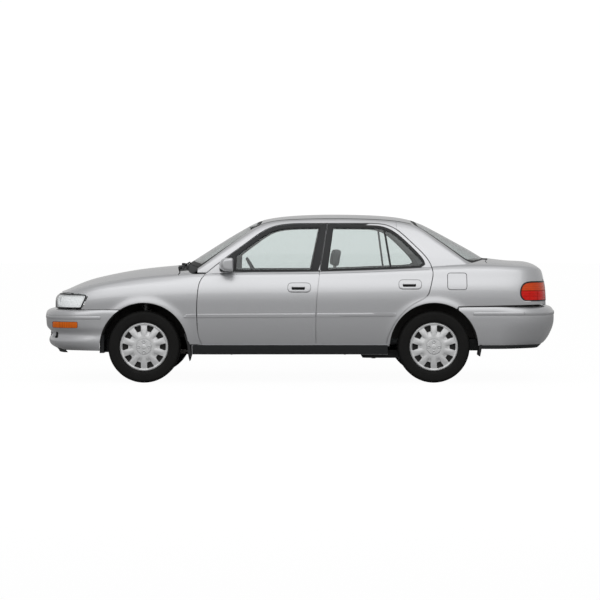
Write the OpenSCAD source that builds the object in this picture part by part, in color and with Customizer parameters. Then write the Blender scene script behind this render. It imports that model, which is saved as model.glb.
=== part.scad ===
// Four-door sedan. The front points to -X, the left side to -Y, and the ground is z = 0.

/* [Body] */
// Half the width over the doors
half_w = 870; // [820:5:900]
// Wheelbase
wheelbase = 2560; // [2450:10:2700]
// Distance of the front axle from the middle of the length
front_axle = 1378; // [1300:1:1450]
// Gap round doors, lids and panels
gap = 8; // [6:1:10]

/* [Wheels] */
// Outer diameter of a tyre
tyre_d = 636; // [600:2:680]
// Width of a tyre
tyre_w = 196; // [175:1:215]
// Rim diameter at the bead
rim_d = 400; // [381:1:430]
// Distance between the middles of two wheels on one axle
track = 1490; // [1430:5:1530]
// Radius of the wheel arch openings
arch_r = 391; // [375:1:410]
// Pitch circle of the wheel bolts
bolt_pcd = 100; // [98:1:120]

/* [Cabin] */
// Thickness of a door
door_t = 108; // [60:1:120]
// Thickness of sheet panels and lids
panel_t = 16; // [6:1:25]
// Thickness of the glass
glass_t = 5; // [4:0.5:6]

/* [Hidden] */

fx = -front_axle;          // front axle
rx = wheelbase - front_axle; // rear axle
wz = tyre_d / 2;           // wheel centre height
wy = track / 2;            // wheel centre, across
silver = [0.72, 0.73, 0.73];
dark = [0.08, 0.08, 0.09];
trim = [0.13, 0.13, 0.14];
glass = [0.35, 0.42, 0.44];

// Uniform cubic B-spline through rows of numbers or points.
function weights(t) =
  [pow(1 - t, 3) / 6, (3 * t * t * t - 6 * t * t + 4) / 6,
   (-3 * t * t * t + 3 * t * t + 3 * t + 1) / 6, t * t * t / 6];
function ended(p) = concat([2 * p[0] - p[1]], p, [2 * p[len(p) - 1] - p[len(p) - 2]]);
function fitted(p) = [for (i = [0:len(p) - 1])
  (i == 0 || i == len(p) - 1) ? p[i] : p[i] - (p[i + 1] - 2 * p[i] + p[i - 1]) / 6];
function spline(q, u) =
  let (i = min(floor(u), len(q) - 4), w = weights(u - i))
  w[0] * q[i] + w[1] * q[i + 1] + w[2] * q[i + 2] + w[3] * q[i + 3];
function sampled(p, n) =
  let (q = ended(p)) [for (k = [0:n * (len(p) - 1)]) spline(q, k / n)];

// The half section's points go to both sides.
function both_sides(half) = concat(
  [for (p = half) [p[0], -p[1], p[2]]],
  [for (k = [len(half) - 2:-1:0]) half[k]]);

// Lower body: x, half width, height of the crest, height of the middle, lean of the end.
lower_rows = [
  [-2232, 60, 779, 797, 36], [-2219, 330, 780, 801, 36], [-2183, 560, 785, 812, 36],
  [-2112, 704, 800, 842, 33], [-2012, 784, 824, 884, 26], [-1880, 822, 852, 922, 12],
  [-1700, 844, 885, 960, 3], [-1500, 856, 916, 996, 0], [-1300, 862, 938, 1020, 0],
  [-1100, 865, 955, 1038, 0], [-900, 867, 972, 1046, 0], [-700, 869, 983, 1040, 0],
  [-500, half_w, 988, 1020, 0], [-250, half_w, 990, 1015, 0], [0, half_w, 992, 1015, 0],
  [250, half_w, 996, 1020, 0], [500, half_w, 1003, 1025, 0], [750, 869, 1011, 1035, 0],
  [1000, 868, 1022, 1050, 0], [1200, 866, 1031, 1090, 0], [1400, 863, 1038, 1116, 0],
  [1600, 858, 1040, 1114, -2], [1780, 848, 1038, 1096, -6], [1930, 830, 1031, 1080, -14],
  [2050, 798, 1026, 1076, -26], [2130, 735, 1018, 1065, -36], [2190, 610, 1003, 1040, -40],
  [2224, 380, 986, 1010, -40], [2237, 60, 980, 996, -40]];
function lower_half(r) =
  let (x = r[0], w = r[1], s = r[2], t = r[3], e = r[4])
  [[x, 0.925 * w, 240], [x, 0.955 * w, 310], [x, 0.984 * w, 440], [x, w, 590],
   [x, 0.999 * w, 715], [x + 0.15 * e, 0.987 * w, 720 + (s - 720) * 0.42],
   [x + 0.5 * e, 0.963 * w, 720 + (s - 720) * 0.74], [x + 0.85 * e, 0.93 * w, s - 4],
   for (f = [0.86, 0.6, 0.3, 0]) [x + e, f * w, t - (t - s) * pow(f / 0.93, 2)]];

// Cabin above the belt: x, height of the middle, height of the pillar or rail edge.
upper_rows = [
  [-1160, 965, 842], [-1060, 1030, 905], [-960, 1094, 968], [-860, 1158, 1036],
  [-760, 1221, 1109], [-660, 1284, 1181], [-560, 1343, 1252], [-460, 1400, 1323],
  [-395, 1431, 1364], [-335, 1451, 1395], [-265, 1466, 1418], [-170, 1480, 1434],
  [-50, 1491, 1442], [110, 1499, 1447], [300, 1502, 1449], [490, 1500, 1447],
  [670, 1494, 1441], [830, 1482, 1428], [940, 1466, 1408], [1035, 1443, 1379],
  [1125, 1410, 1324], [1215, 1365, 1258], [1310, 1315, 1190], [1410, 1261, 1117],
  [1510, 1207, 1042], [1610, 1150, 967], [1710, 1087, 892], [1810, 1030, 820]];
function base_y(x) = 812 - 0.00025 * pow(max(0, -700 - x), 2) - 0.00012 * pow(max(0, x - 900), 2);
function side_y(x, z) =
  let (h = max(0, z - 980)) base_y(x) - 0.36 * h - 0.00018 * h * h;
function upper_half(r) =
  let (x = r[0], t = r[1], e = r[2], ye = side_y(x, e), low = e - 45,
       bottom = min(760, e - 110))
  [[x, base_y(x) - 6, bottom],
   for (f = [0.3, 0.55, 0.8, 1])
     let (z = bottom + (low - bottom) * f) [x, side_y(x, z), z],
   [x, ye, e],
   for (f = [(ye - 45) / ye, 0.75, 0.5, 0.25, 0]) [x, f * ye, t - (t - e) * pow(f, 2.2)]];

// A closed solid from a grid of points whose rows are closed rings.
module loft(grid) {
  n = len(grid[0]);
  m = len(grid);
  half = floor(n / 2);
  polyhedron(
    points = [for (row = grid) each row],
    faces = concat(
      [for (r = [0:m - 2], c = [0:n - 1])
        let (a = r * n + c, b = r * n + (c + 1) % n)
        each [[a, b, b + n], [a, b + n, a + n]]],
      [for (i = [0:half - 1], end = [0, 1])
        let (a = end * (m - 1) * n + i, b = a + 1,
             c = end * (m - 1) * n + n - 1 - i, d = c - 1)
        each (b == d ? (end == 0 ? [[b, a, c]] : [[a, b, c]])
          : end == 0 ? [[b, a, c], [b, c, d]] : [[a, b, d], [a, d, c]])]));
}
function skin(rows, rows_n, cols_n) = [for (row = sampled(fitted(rows), rows_n))
  sampled(row, cols_n)];
lower_grid = skin([for (r = lower_rows) both_sides(lower_half(r))], 1, 2);
upper_grid = skin([for (r = upper_rows) both_sides(upper_half(r))], 1, 2);
module lower_body() loft(lower_grid);
module upper_body() loft(upper_grid);

// Curved panels stay one mesh each.
module as_mesh() resize([0, 0, 0]) children();
module right_too() {
  children();
  mirror([0, 1, 0]) children();
}

// A side view outline in x and z, run across the left half of the car.
module side_cut(points, grow = 0, y0 = -1000, y1 = -330)
  translate([0, y1, 0]) rotate([90, 0, 0]) linear_extrude(y1 - y0) offset(delta = grow)
    polygon(points);
// A plan outline in x and y, for the whole width, given for one half.
module plan_cut(half, grow = 0)
  linear_extrude(2000) offset(delta = grow)
    polygon(concat(half, [for (k = [len(half) - 1:-1:0]) [half[k][0], -half[k][1]]]));
// A block from its corners.
module block(a, b) translate(a) cube(b - a);

// Side view outlines, front to rear round each shape.
front_gap = [[-868, 346], [-899, 425], [-908, 560], [-911, 665], [-907, 735], [-902, 803],
  [-894, 856], [-881, 900], [-856, 936], [-826, 972]];
roof_line = [[-752, 1032], [-640, 1119], [-533, 1195], [-445, 1260], [-356, 1325], [-268, 1372],
  [-178, 1396], [-89, 1407], [0, 1411]];
b_gap = [[245, 1412], [227, 1307], [199, 1129], [176, 996], [167, 909], [154, 821], [145, 689],
  [140, 601], [140, 346]];
rear_gap = [[600, 1412], [700, 1409], [780, 1394], [848, 1364], [910, 1316], [978, 1253],
  [1065, 1168], [1110, 1118], [1148, 1064], [1167, 1010], [1174, 961], [1164, 905],
  [1144, 821], [1127, 778], [1091, 745], [1035, 716], [968, 676], [922, 636], [880, 590],
  [836, 532], [795, 455], [769, 385], [762, 346]];
front_outline = concat(front_gap, roof_line, b_gap);
rear_outline = concat([for (k = [len(b_gap) - 1:-1:0]) b_gap[k]], rear_gap);
front_pane = [[-560, 990], [-548, 1150], [-512, 1172], [-427, 1234], [-339, 1298], [-257, 1343],
  [-172, 1367], [-87, 1377], [0, 1381], [184, 1382], [103, 992]];
rear_pane = [[236, 994], [291, 1382], [590, 1381], [680, 1378], [756, 1363], [820, 1333],
  [890, 1280], [952, 1222], [1034, 1140], [1080, 1084], [1094, 1050], [1060, 1028], [972, 1022],
  [530, 1004]];

module door_outline(grow, front) side_cut(front ? front_outline : rear_outline, grow);
// A layer of the left side between two depths below the surface.
module lower_layer(a, b) difference() {
  translate([0, a, 0]) lower_body();
  translate([0, b, 0]) lower_body();
}
module upper_layer(a, b) difference() {
  translate([0, a, 0]) upper_body();
  translate([0, b, 0]) upper_body();
}

skin_t = 12;
frame_t = 24;
lip_t = 9;
inner_y = door_t - half_w;
module door_left(front) as_mesh() {
  pane = front ? front_pane : rear_pane;
  difference() {
    union() {
      intersection() {
        lower_layer(0, skin_t);
        door_outline(-gap / 2, front);
        block([-1000, -900, 300], [1300, -790, 1040]);
      }
      intersection() {
        translate([0, skin_t - 1, 0]) lower_body();
        door_outline(-46, front);
        block([-1000, -900, 300], [1300, inner_y, 1040]);
      }
      intersection() {
        upper_layer(0, lip_t);
        door_outline(-gap / 2, front);
        block([-1000, -900, 960], [1300, -560, 1500]);
      }
      intersection() {
        upper_layer(lip_t - 1, frame_t);
        door_outline(-gap / 2 - 9, front);
        block([-1000, -900, 960], [1300, -560, 1500]);
      }
    }
    side_cut(pane);
    if (!front) cylinder_y(rx, wz, arch_r + 22, -1000, -400);
  }
}
module cylinder_y(x, z, r, y0, y1)
  translate([x, y1, z]) rotate([90, 0, 0]) cylinder(h = y1 - y0, r = r, $fn = 96);

module pane_left(front) as_mesh() intersection() {
  upper_layer(10, 10 + glass_t);
  side_cut(front ? front_pane : rear_pane, -0.4);
}

// The left pillars and roof rail, as deep as the door frames and a little more.
pillar_t = 55;
pillar_line = [[-905, 975], [-905, 1010], [-790, 1094], [-620, 1222], [-440, 1352], [-360, 1404],
  [-250, 1470]];
jamb_t = 34;
module pillar_shell() difference() {
  upper_body();
  translate([0, pillar_t, -pillar_t]) upper_body();
}
module side_left() as_mesh() difference() {
  union() {
    intersection() {
      translate([0, skin_t + 7, 0]) lower_body();
      side_cut([[-905, 325], [-905, 985], [1210, 985], [1210, 700], [800, 325]]);
      block([-905, -900, 200], [1210, inner_y + 26, 985]);
    }
    intersection() {
      lower_body();
      block([-956, -900, 250], [774, inner_y + 26, 335]);
    }
    intersection() {
      pillar_shell();
      side_cut(concat(pillar_line, [[858, 1470], [858, 975]]));
      block([-1000, -1000, 900], [1300, -582, 1500]);
    }
    intersection() {
      translate([0, jamb_t, -jamb_t]) pillar_shell();
      side_cut([[850, 1470], [850, 975], [1158, 975], [1158, 1060], [1110, 1130],
        [880, 1352], [860, 1470]]);
      block([800, -1000, 900], [1300, -582, 1500]);
    }
  }
  block([-1000, -900, 700], [-856, -780, 975]);
  block([1120, -900, 700], [1300, -790, 1000]);
  for (front = [true, false]) {
    door_outline(-26, front);
    difference() {
      door_outline(gap / 2, front);
      intersection() {
        translate([0, skin_t + 7, 0]) lower_body();
        block([-1000, -1000, 0], [1300, -300, 952]);
      }
      translate([0, frame_t + 7, 0]) upper_body();
    }
  }
  cylinder_y(rx, wz, arch_r + 2, -1000, -400);
}

module fender_left() as_mesh() difference() {
  intersection() {
    difference() {
      lower_body();
      translate([panel_t, panel_t, -panel_t]) lower_body();
    }
    side_cut([[-1932, 649], [-1932, 660], [-1910, 680], [-1878, 757], [-1890, 784], [-2160, 800],
      [-2160, 1100], [-870, 1040], [-830, 976], [-860, 936], [-885, 900], [-898, 856],
      [-906, 803], [-911, 735], [-915, 665], [-912, 560], [-903, 425], [-872, 346], [-900, 341],
      [-1040, 341], [-1200, 649]], 0, -1000, -500);
  }
  cylinder_y(fx, wz, arch_r, -1000, -400);
  hood_cut(gap / 2);
  block([-1090, -764, 800], [-700, 0, 1200]);
  intersection() {
    upper_body();
    block([-1200, -1000, 900], [-700, 0, 1100]);
  }
}

// Rear quarter panel. Only the left one has the opening for the fuel door.
module quarter(fuel) as_mesh() difference() {
  intersection() {
    union() {
      difference() {
        lower_body();
        translate([-panel_t, panel_t, -panel_t]) lower_body();
      }
      intersection() {
        difference() {
          upper_body();
          translate([0, 30, -30]) upper_body();
        }
        block([700, -1000, 1000], [1700, 0, 1500]);
      }
    }
    side_cut([[860, 1470], [860, 1300], [740, 700], [740, 346], [1182, 330], [1396, 677],
      [1963, 691], [2300, 700], [2300, 1200], [1500, 1250], [1000, 1470]], 0, -1000, -440);
  }
  door_outline(gap / 2 + 2, false);
  cylinder_y(rx, wz, arch_r, -1000, -400);
  lid_cut(gap / 2);
  rear_window_cut(gap / 2);
  roof_cut(1);
  tail_cut(4);
  if (fuel) fuel_cut(gap / 2);
  intersection() {
    translate([-panel_t, panel_t, -panel_t]) lower_body();
    block([1180, -1000, 900], [1900, 0, 1060]);
  }
}

// Plan outlines of hood, trunk lid, glass and roof.
hood_half = [[-2300, 0], [-2300, 640], [-2120, 655], [-1900, 716], [-1500, 762], [-1075, 786],
  [-1068, 700], [-1100, 400], [-1112, 0]];
lid_half = [[1722, 0], [1712, 250], [1660, 560], [1664, 668], [1900, 664], [2100, 630],
  [2300, 610], [2300, 0]];
windshield_half = [[-1012, 0], [-995, 300], [-950, 560], [-897, 742], [-850, 735], [-709, 705],
  [-534, 652], [-400, 604], [-362, 560], [-352, 400], [-342, 0]];
rear_window_half = [[1006, 0], [1012, 400], [1024, 560], [1060, 600], [1250, 655], [1420, 702],
  [1480, 700], [1560, 640], [1650, 420], [1700, 200], [1706, 0]];
roof_half = [[-334, 0], [-344, 400], [-352, 540], [-330, 574], [980, 574], [1012, 540],
  [1004, 400], [998, 0]];
module hood_cut(grow) intersection() {
  plan_cut(hood_half, grow);
  block([-2400, -900, 790 - grow], [-900, 900, 1300]);
}
module lid_cut(grow) difference() {
  plan_cut(lid_half, grow);
  block([1500, -900, -10], [2400, 900, 722 - grow]);
  right_too() block([1900, -900, -10], [2400, -484 - grow, 906 - grow]);
}
module rear_window_cut(grow) intersection() {
  plan_cut(rear_window_half, grow);
  block([900, -900, 1000], [1800, 900, 1600]);
}
module tail_cut(grow) intersection() {
  side_cut([[2008, 895], [1956, 853], [1945, 803], [1957, 751], [1985, 722], [2300, 722],
    [2300, 895]], grow, -1000, -492 + grow);
}
module fuel_cut(grow) side_cut([[1302, 845], [1302, 950], [1322, 970], [1450, 970], [1470, 950],
  [1470, 845], [1450, 825], [1322, 825]], grow, -1000, -700);

module hood() color(silver) as_mesh() intersection() {
  difference() {
    lower_body();
    translate([panel_t, 0, -panel_t]) lower_body();
  }
  hood_cut(-gap / 2);
}
module trunk_lid() color(silver) as_mesh() intersection() {
  difference() {
    lower_body();
    translate([-panel_t, 0, -panel_t]) lower_body();
  }
  lid_cut(-gap / 2);
}
module roof_cut(grow) intersection() {
  plan_cut(roof_half, grow);
  block([-500, -900, 1300], [1100, 900, 1600]);
}
module roof_panel() color(silver) as_mesh() intersection() {
  difference() {
    upper_body();
    translate([0, 0, -24]) upper_body();
  }
  roof_cut(0);
}
module windshield() color(glass) as_mesh() intersection() {
  difference() {
    translate([0, 0, -3]) upper_body();
    translate([0, 0, -3 - glass_t]) upper_body();
  }
  plan_cut(windshield_half);
  block([-1100, -900, 900], [-300, 900, 1600]);
  difference() {
    block([-1100, -900, 900], [-300, 900, 1600]);
    right_too() intersection() {
      pillar_shell();
      side_cut(concat(pillar_line, [[0, 1470], [0, 975]]), 0.5);
    }
  }
}
module rear_window() color(glass) as_mesh() intersection() {
  difference() {
    translate([0, 0, -3]) upper_body();
    translate([0, 0, -3 - glass_t]) upper_body();
  }
  rear_window_cut(0);
  block([900, -900, 1060], [1800, 900, 1600]);
}
// Panel between hood and windshield.
module cowl() color(dark) as_mesh() difference() {
  intersection() {
    lower_body();
    plan_cut([[-1104, 0], [-1092, 400], [-1063, 700], [-1063, 760], [-905, 760], [-905, 0]]);
    block([-1200, -900, 940], [-880, 900, 1100]);
  }
  translate([0, 0, -26]) lower_body();
  translate([-2, 0, 2]) upper_body();
}

module front_fender_left() color(silver) fender_left();
module front_fender_right() color(silver) mirror([0, 1, 0]) fender_left();
module rear_quarter_left() color(silver) quarter(true);
module rear_quarter_right() color(silver) mirror([0, 1, 0]) quarter(false);
module body_side_left() color(silver) side_left();
module body_side_right() color(silver) mirror([0, 1, 0]) side_left();
module front_door_left() color(silver) door_left(true);
module front_door_right() color(silver) mirror([0, 1, 0]) door_left(true);
module rear_door_left() color(silver) door_left(false);
module rear_door_right() color(silver) mirror([0, 1, 0]) door_left(false);
module front_glass_left() color(glass) pane_left(true);
module front_glass_right() color(glass) mirror([0, 1, 0]) pane_left(true);
module rear_glass_left() color(glass) pane_left(false);
module rear_glass_right() color(glass) mirror([0, 1, 0]) pane_left(false);

module headlights() color(glass) as_mesh() right_too() intersection() {
  difference() {
    lower_body();
    translate([90, 60, 0]) lower_body();
  }
  side_cut([[-2300, 655], [-1940, 655], [-1915, 683], [-1884, 756], [-1895, 778], [-2300, 786]],
    0, -1000, -365);
}
module grille() color(dark) as_mesh() intersection() {
  difference() {
    lower_body();
    translate([40, 0, 0]) lower_body();
  }
  block([-2300, -359, 655], [-2000, 359, 782]);
}
module tail_lights() color([0.7, 0.1, 0.08]) as_mesh() right_too() intersection() {
  difference() {
    lower_body();
    translate([-60, 50, 0]) lower_body();
  }
  tail_cut(0);
}
module fuel_door() color(silver) as_mesh() intersection() {
  lower_layer(0, 6);
  fuel_cut(-3);
}

// Bumpers: the path that the skin follows in plan, then depth below the path by height.
bumper_path = [[-1400, 863], [-1690, 864], [-1800, 862], [-1920, 852], [-2030, 830], [-2125, 787],
  [-2200, 715], [-2254, 600], [-2287, 460], [-2309, 300], [-2321, 150], [-2325, 0]];
front_profile = [[645, 74], [640, 46], [624, 12], [606, 2], [580, 0], [545, 0], [508, 3],
  [472, 10], [440, 34], [400, 42], [364, 36], [330, 42], [300, 82], [284, 110]];
rear_profile = [[672, 84], [666, 50], [648, 20], [624, 4], [590, 0], [544, 0], [508, 5],
  [472, 15], [436, 30], [400, 48], [364, 72], [336, 100], [330, 120]];
bumper_t = 60;
function bumper_ring(x, y, dir, side, profile) = concat(
  [for (p = profile) [x, y, 0] + dir * p[1] * side + [0, 0, p[0]]],
  [for (k = [len(profile) - 1:-4:0]) let (p = profile[k])
    [x, y, 0] + dir * (p[1] * side + bumper_t) + [0, 0, p[0]]]);
function bumper_grid(profile) =
  let (path = sampled(fitted([for (p = bumper_path) [p[0], p[1]]]), 1),
       full = concat([for (p = path) [p[0], -p[1]]],
         [for (k = [len(path) - 2:-1:0]) path[k]]), m = len(full))
  [for (k = [0:m - 1])
    let (a = full[max(k - 1, 0)], b = full[min(k + 1, m - 1)], d = (b - a) / norm(b - a),
         turn = min(1, max(0, (-1750 - full[k][0]) / 420)))
    bumper_ring(full[k][0], full[k][1], [-d[1], d[0], 0] * -1, 0.18 + 0.82 * turn, profile)];
module ring_loft(grid) {
  n = len(grid[0]);
  m = len(grid);
  polyhedron(
    points = [for (row = grid) each row],
    faces = concat(
      [for (r = [0:m - 2], c = [0:n - 1])
        let (a = r * n + c, b = r * n + (c + 1) % n)
        each [[a, b + n, b], [a, a + n, b + n]]],
      [[for (c = [0:n - 1]) c]],
      [[for (c = [n - 1:-1:0]) (m - 1) * n + c]]));
}
module front_bumper() color(silver) as_mesh() difference() {
  ring_loft(bumper_grid(front_profile));
  right_too() cylinder_y(fx, wz, arch_r, -1000, -400);
  block([-1590, -1000, 0], [-1000, 1000, 900]);
}
module rear_bumper() color(silver) as_mesh() difference() {
  mirror([1, 0, 0]) ring_loft(bumper_grid(rear_profile));
  right_too() cylinder_y(rx, wz, arch_r, -1000, -400);
}

module mirror_at(s) color(silver) {
  as_mesh() scale([1, s, 1]) {
    hull() {
      translate([-640, -902, 1046]) scale([0.55, 1, 0.62]) sphere(84, $fn = 12);
      translate([-628, -862, 1046]) scale([0.5, 0.6, 0.56]) sphere(84, $fn = 12);
    }
    hull() {
      block([-690, -812, 1000], [-590, -800, 1030]);
      block([-660, -850, 1010], [-600, -846, 1036]);
    }
  }
}
module mirror_left() mirror_at(1);
module mirror_right() mirror_at(-1);

module underbody() color(dark) {
  block([-884, -735, 262], [780, 735, 278]);
  block([780, -600, 262], [1010, 600, 278]);
  block([-884, -735, 278], [-872, 735, 930]);
  block([-884, -100, 278], [440, 100, 360]);
  block([1010, -600, 262], [1026, 600, 430]);
  block([1026, -515, 414], [2060, 515, 430]);
  for (s = [-1, 1]) {
    block([-2130, s * 410 - 25, 400], [-884, s * 410 + 25, 480]);
    block([1026, s * 480 - 30, 330], [2060, s * 480 + 30, 414]);
  }
  block([-2130, -385, 400], [-2100, 385, 640]);
  block([2044, -460, 430], [2060, 460, 640]);
}

// Liners over the four wheels.
module wheel_housings() color(dark) right_too() {
  difference() {
    cylinder_y(fx, wz, arch_r - 1, -835, -452);
    cylinder_y(fx, wz, arch_r - 7, -900, -458);
    block([fx - 500, -900, -100], [fx + 500, -400, wz + 70]);
  }
  difference() {
    cylinder_y(rx, wz, arch_r - 1, -835, -606);
    cylinder_y(rx, wz, arch_r - 7, -900, -612);
    block([rx - 500, -900, -100], [rx + 500, -400, wz + 70]);
  }
}

module dashboard() color(dark) translate([0, 690, 0]) rotate([90, 0, 0]) linear_extrude(1380)
  polygon([[-860, 700], [-860, 960], [-760, 990], [-560, 985], [-520, 930], [-560, 800],
    [-640, 690]]);
module steering_wheel() color(dark) translate([-390, -370, 940]) rotate([0, 60, 0]) {
  rotate_extrude($fn = 48) translate([180, 0]) circle(13, $fn = 16);
  cylinder(h = 40, r = 60, center = true, $fn = 32);
  for (a = [-90, 0, 90]) rotate([0, 0, a]) translate([50, -16, -8]) cube([125, 32, 14]);
  translate([0, 0, -90]) cylinder(h = 90, r = 26, $fn = 24);
}
module seat(x, y, w) {
  hull() for (dx = [0, 460], dz = [0, 90]) translate([x + dx, y - w / 2, 320 + dz])
    rotate([-90, 0, 0]) cylinder(h = w, r = 38, $fn = 24);
  hull() for (p = [[490, 420], [640, 980]]) translate([x + p[0], y - w / 2, p[1]])
    rotate([-90, 0, 0]) cylinder(h = w, r = 50, $fn = 24);
  hull() for (p = [[652, 1060], [668, 1150]]) translate([x + p[0], y - 120, p[1]])
    rotate([-90, 0, 0]) cylinder(h = 240, r = 42, $fn = 24);
}
module front_seats() color([0.3, 0.3, 0.31]) for (s = [-1, 1]) {
  seat(-330, s * 370, 500);
  block([-290, s * 370 - 200, 278.5], [120, s * 370 + 200, 300]);
}
module rear_seat() color([0.3, 0.3, 0.31]) {
  hull() for (dx = [0, 420], dz = [0, 80]) translate([540 + dx, -598, 350 + dz])
    rotate([-90, 0, 0]) cylinder(h = 1196, r = 45, $fn = 24);
  hull() for (p = [[950, 500], [1110, 940]]) translate([p[0], -600, p[1]])
    rotate([-90, 0, 0]) cylinder(h = 1200, r = 50, $fn = 24);
}
module engine_block() color(trim) block([-1820, -270, 360], [-1240, 300, 830]);
module front_subframe() color(dark) {
  block([fx - 60, -640, 196], [fx + 60, 640, 232]);
  block([fx - 140, -440, 232], [fx + 140, 440, 280]);
  for (s = [-1, 1]) block([fx - 120, s * 410 - 25, 280], [fx + 120, s * 410 + 25, 399.5]);
}
module rear_axle() color(dark) {
  block([rx - 45, -600, wz - 45], [rx + 45, 600, wz + 10]);
  for (s = [-1, 1]) {
    translate([rx, 0, wz]) rotate([s * 90, 0, 0]) {
      translate([0, 0, 560]) cylinder(h = 82, r = 60, $fn = 48);
      translate([0, 0, 600]) cylinder(h = 112, r = 24, $fn = 48);
    }
    translate([rx + 30, s * 556, wz]) cylinder(h = 300, r = 28, $fn = 32);
  }
}
module exhaust() color(trim) {
  translate([-1100, 160, 220]) rotate([0, 90, 0]) cylinder(h = 2400, r = 22, $fn = 24);
  hull() for (p = [[1290, 220], [1430, 306]]) translate([p[0], 160, p[1]])
    rotate([0, 90, 0]) cylinder(h = 10, r = 22, $fn = 24);
  translate([1430, 160, 306]) rotate([0, 90, 0]) cylinder(h = 460, r = 22, $fn = 24);
}
module fuel_tank() color(dark) block([560, -560, 205], [1000, 80, 261.5]);

module knuckle(s) color(dark) {
  translate([fx, 0, wz]) rotate([-s * 90, 0, 0]) {
    translate([0, 0, 600]) cylinder(h = 50, r = 60, $fn = 48);
    translate([0, 0, 640]) cylinder(h = 72, r = 24, $fn = 48);
  }
  translate([fx, s * 616, 250]) cylinder(h = 440, r = 20, $fn = 32);
}
module knuckle_left() knuckle(-1);
module knuckle_right() knuckle(1);

module tyre(x, s) color(dark) translate([x, s * wy, wz]) rotate([90, 0, 0])
  rotate_extrude($fn = 96) translate([0, 0]) polygon(concat(
    [[rim_d / 2, -tyre_w / 2 + 20], [rim_d / 2 + 20, -tyre_w / 2 + 4], [rim_d / 2 + 60, -tyre_w / 2],
     [tyre_d / 2 - 26, -tyre_w / 2 + 6], [tyre_d / 2 - 8, -tyre_w / 2 + 16],
     [tyre_d / 2, -tyre_w / 2 + 30]],
    [[tyre_d / 2, tyre_w / 2 - 30], [tyre_d / 2 - 8, tyre_w / 2 - 16],
     [tyre_d / 2 - 26, tyre_w / 2 - 6], [rim_d / 2 + 60, tyre_w / 2],
     [rim_d / 2 + 20, tyre_w / 2 - 4], [rim_d / 2, tyre_w / 2 - 20]]));
// Rim with its disc and cover; z runs outward.
module wheel(x, s) color(silver) translate([x, s * wy, wz]) rotate([s * -90, 0, 0]) {
  difference() {
    rotate_extrude($fn = 96) polygon([[32, 20], [32, 62], [70, 70], [150, 66], [196, 78],
      [rim_d / 2 - 0.5, 76], [rim_d / 2 - 0.5, -86], [186, -86], [186, 40], [150, 48], [70, 50],
      [70, 20]]);
    for (k = [0:9]) rotate([0, 0, 36 * k]) translate([158, 0, 30])
      linear_extrude(60) square([44, 48], center = true);
    for (k = [0:3]) rotate([0, 0, 90 * k]) translate([bolt_pcd / 2, 0, -10])
      cylinder(h = 100, r = 7, $fn = 32);
  }
}
module tyre_front_left() tyre(fx, -1);
module tyre_front_right() tyre(fx, 1);
module tyre_rear_left() tyre(rx, -1);
module tyre_rear_right() tyre(rx, 1);
module wheel_front_left() wheel(fx, -1);
module wheel_front_right() wheel(fx, 1);
module wheel_rear_left() wheel(rx, -1);
module wheel_rear_right() wheel(rx, 1);

underbody();
wheel_housings();
body_side_left();
body_side_right();
roof_panel();
cowl();
front_fender_left();
front_fender_right();
rear_quarter_left();
rear_quarter_right();
front_bumper();
rear_bumper();
grille();
headlights();
tail_lights();
windshield();
rear_window();
hood();
trunk_lid();
fuel_door();
front_door_left();
front_door_right();
rear_door_left();
rear_door_right();
front_glass_left();
front_glass_right();
rear_glass_left();
rear_glass_right();
mirror_left();
mirror_right();
dashboard();
steering_wheel();
front_seats();
rear_seat();
engine_block();
front_subframe();
rear_axle();
exhaust();
fuel_tank();
knuckle_left();
knuckle_right();
tyre_front_left();
tyre_front_right();
tyre_rear_left();
tyre_rear_right();
wheel_front_left();
wheel_front_right();
wheel_rear_left();
wheel_rear_right();
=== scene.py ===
"""Four-door sedan: body panels, lamps, wheels, cabin and underside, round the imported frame."""

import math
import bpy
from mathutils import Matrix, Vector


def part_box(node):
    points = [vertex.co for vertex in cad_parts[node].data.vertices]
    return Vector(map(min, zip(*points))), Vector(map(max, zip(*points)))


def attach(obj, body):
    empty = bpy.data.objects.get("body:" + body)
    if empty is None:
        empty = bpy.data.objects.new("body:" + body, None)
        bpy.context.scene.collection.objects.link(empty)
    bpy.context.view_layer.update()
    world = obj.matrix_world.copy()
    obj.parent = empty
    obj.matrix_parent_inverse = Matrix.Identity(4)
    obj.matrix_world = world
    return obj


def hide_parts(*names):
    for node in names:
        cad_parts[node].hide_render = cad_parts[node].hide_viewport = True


bl_info = {
    "name": "Four-door sedan",
    "version": (1, 0, 0),
    "blender": (4, 5, 0),
    "location": "View3D > Sidebar > Sedan",
    "description": "Builds a silver four-door sedan round its packed frame",
    "category": "Object",
}

from functools import reduce

import bmesh
import bpy
import numpy as np
from mathutils import Matrix, Vector
from mathutils.bvhtree import BVHTree
from mathutils.interpolate import poly_3d_calc

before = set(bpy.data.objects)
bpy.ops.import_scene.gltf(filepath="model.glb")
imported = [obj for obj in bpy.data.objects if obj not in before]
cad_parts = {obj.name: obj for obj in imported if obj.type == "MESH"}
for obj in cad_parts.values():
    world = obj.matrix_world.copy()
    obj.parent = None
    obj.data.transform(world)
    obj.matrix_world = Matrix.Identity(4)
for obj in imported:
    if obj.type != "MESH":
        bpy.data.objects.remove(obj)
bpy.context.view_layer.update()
MM = 0.001
FAR_LEFT = -1000    # outside the left side, in millimetres


def middle(node):
    """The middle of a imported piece, in metres."""
    low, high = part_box(node)
    return (low + high) / 2


FRONT_X = middle("tyre_front_left").x / MM
REAR_X = middle("tyre_rear_left").x / MM
WHEEL_Y = -middle("tyre_front_left").y / MM
WHEEL_Z = middle("tyre_front_left").z / MM

# ---------------------------------------------------------------- sizes and colours


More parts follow.
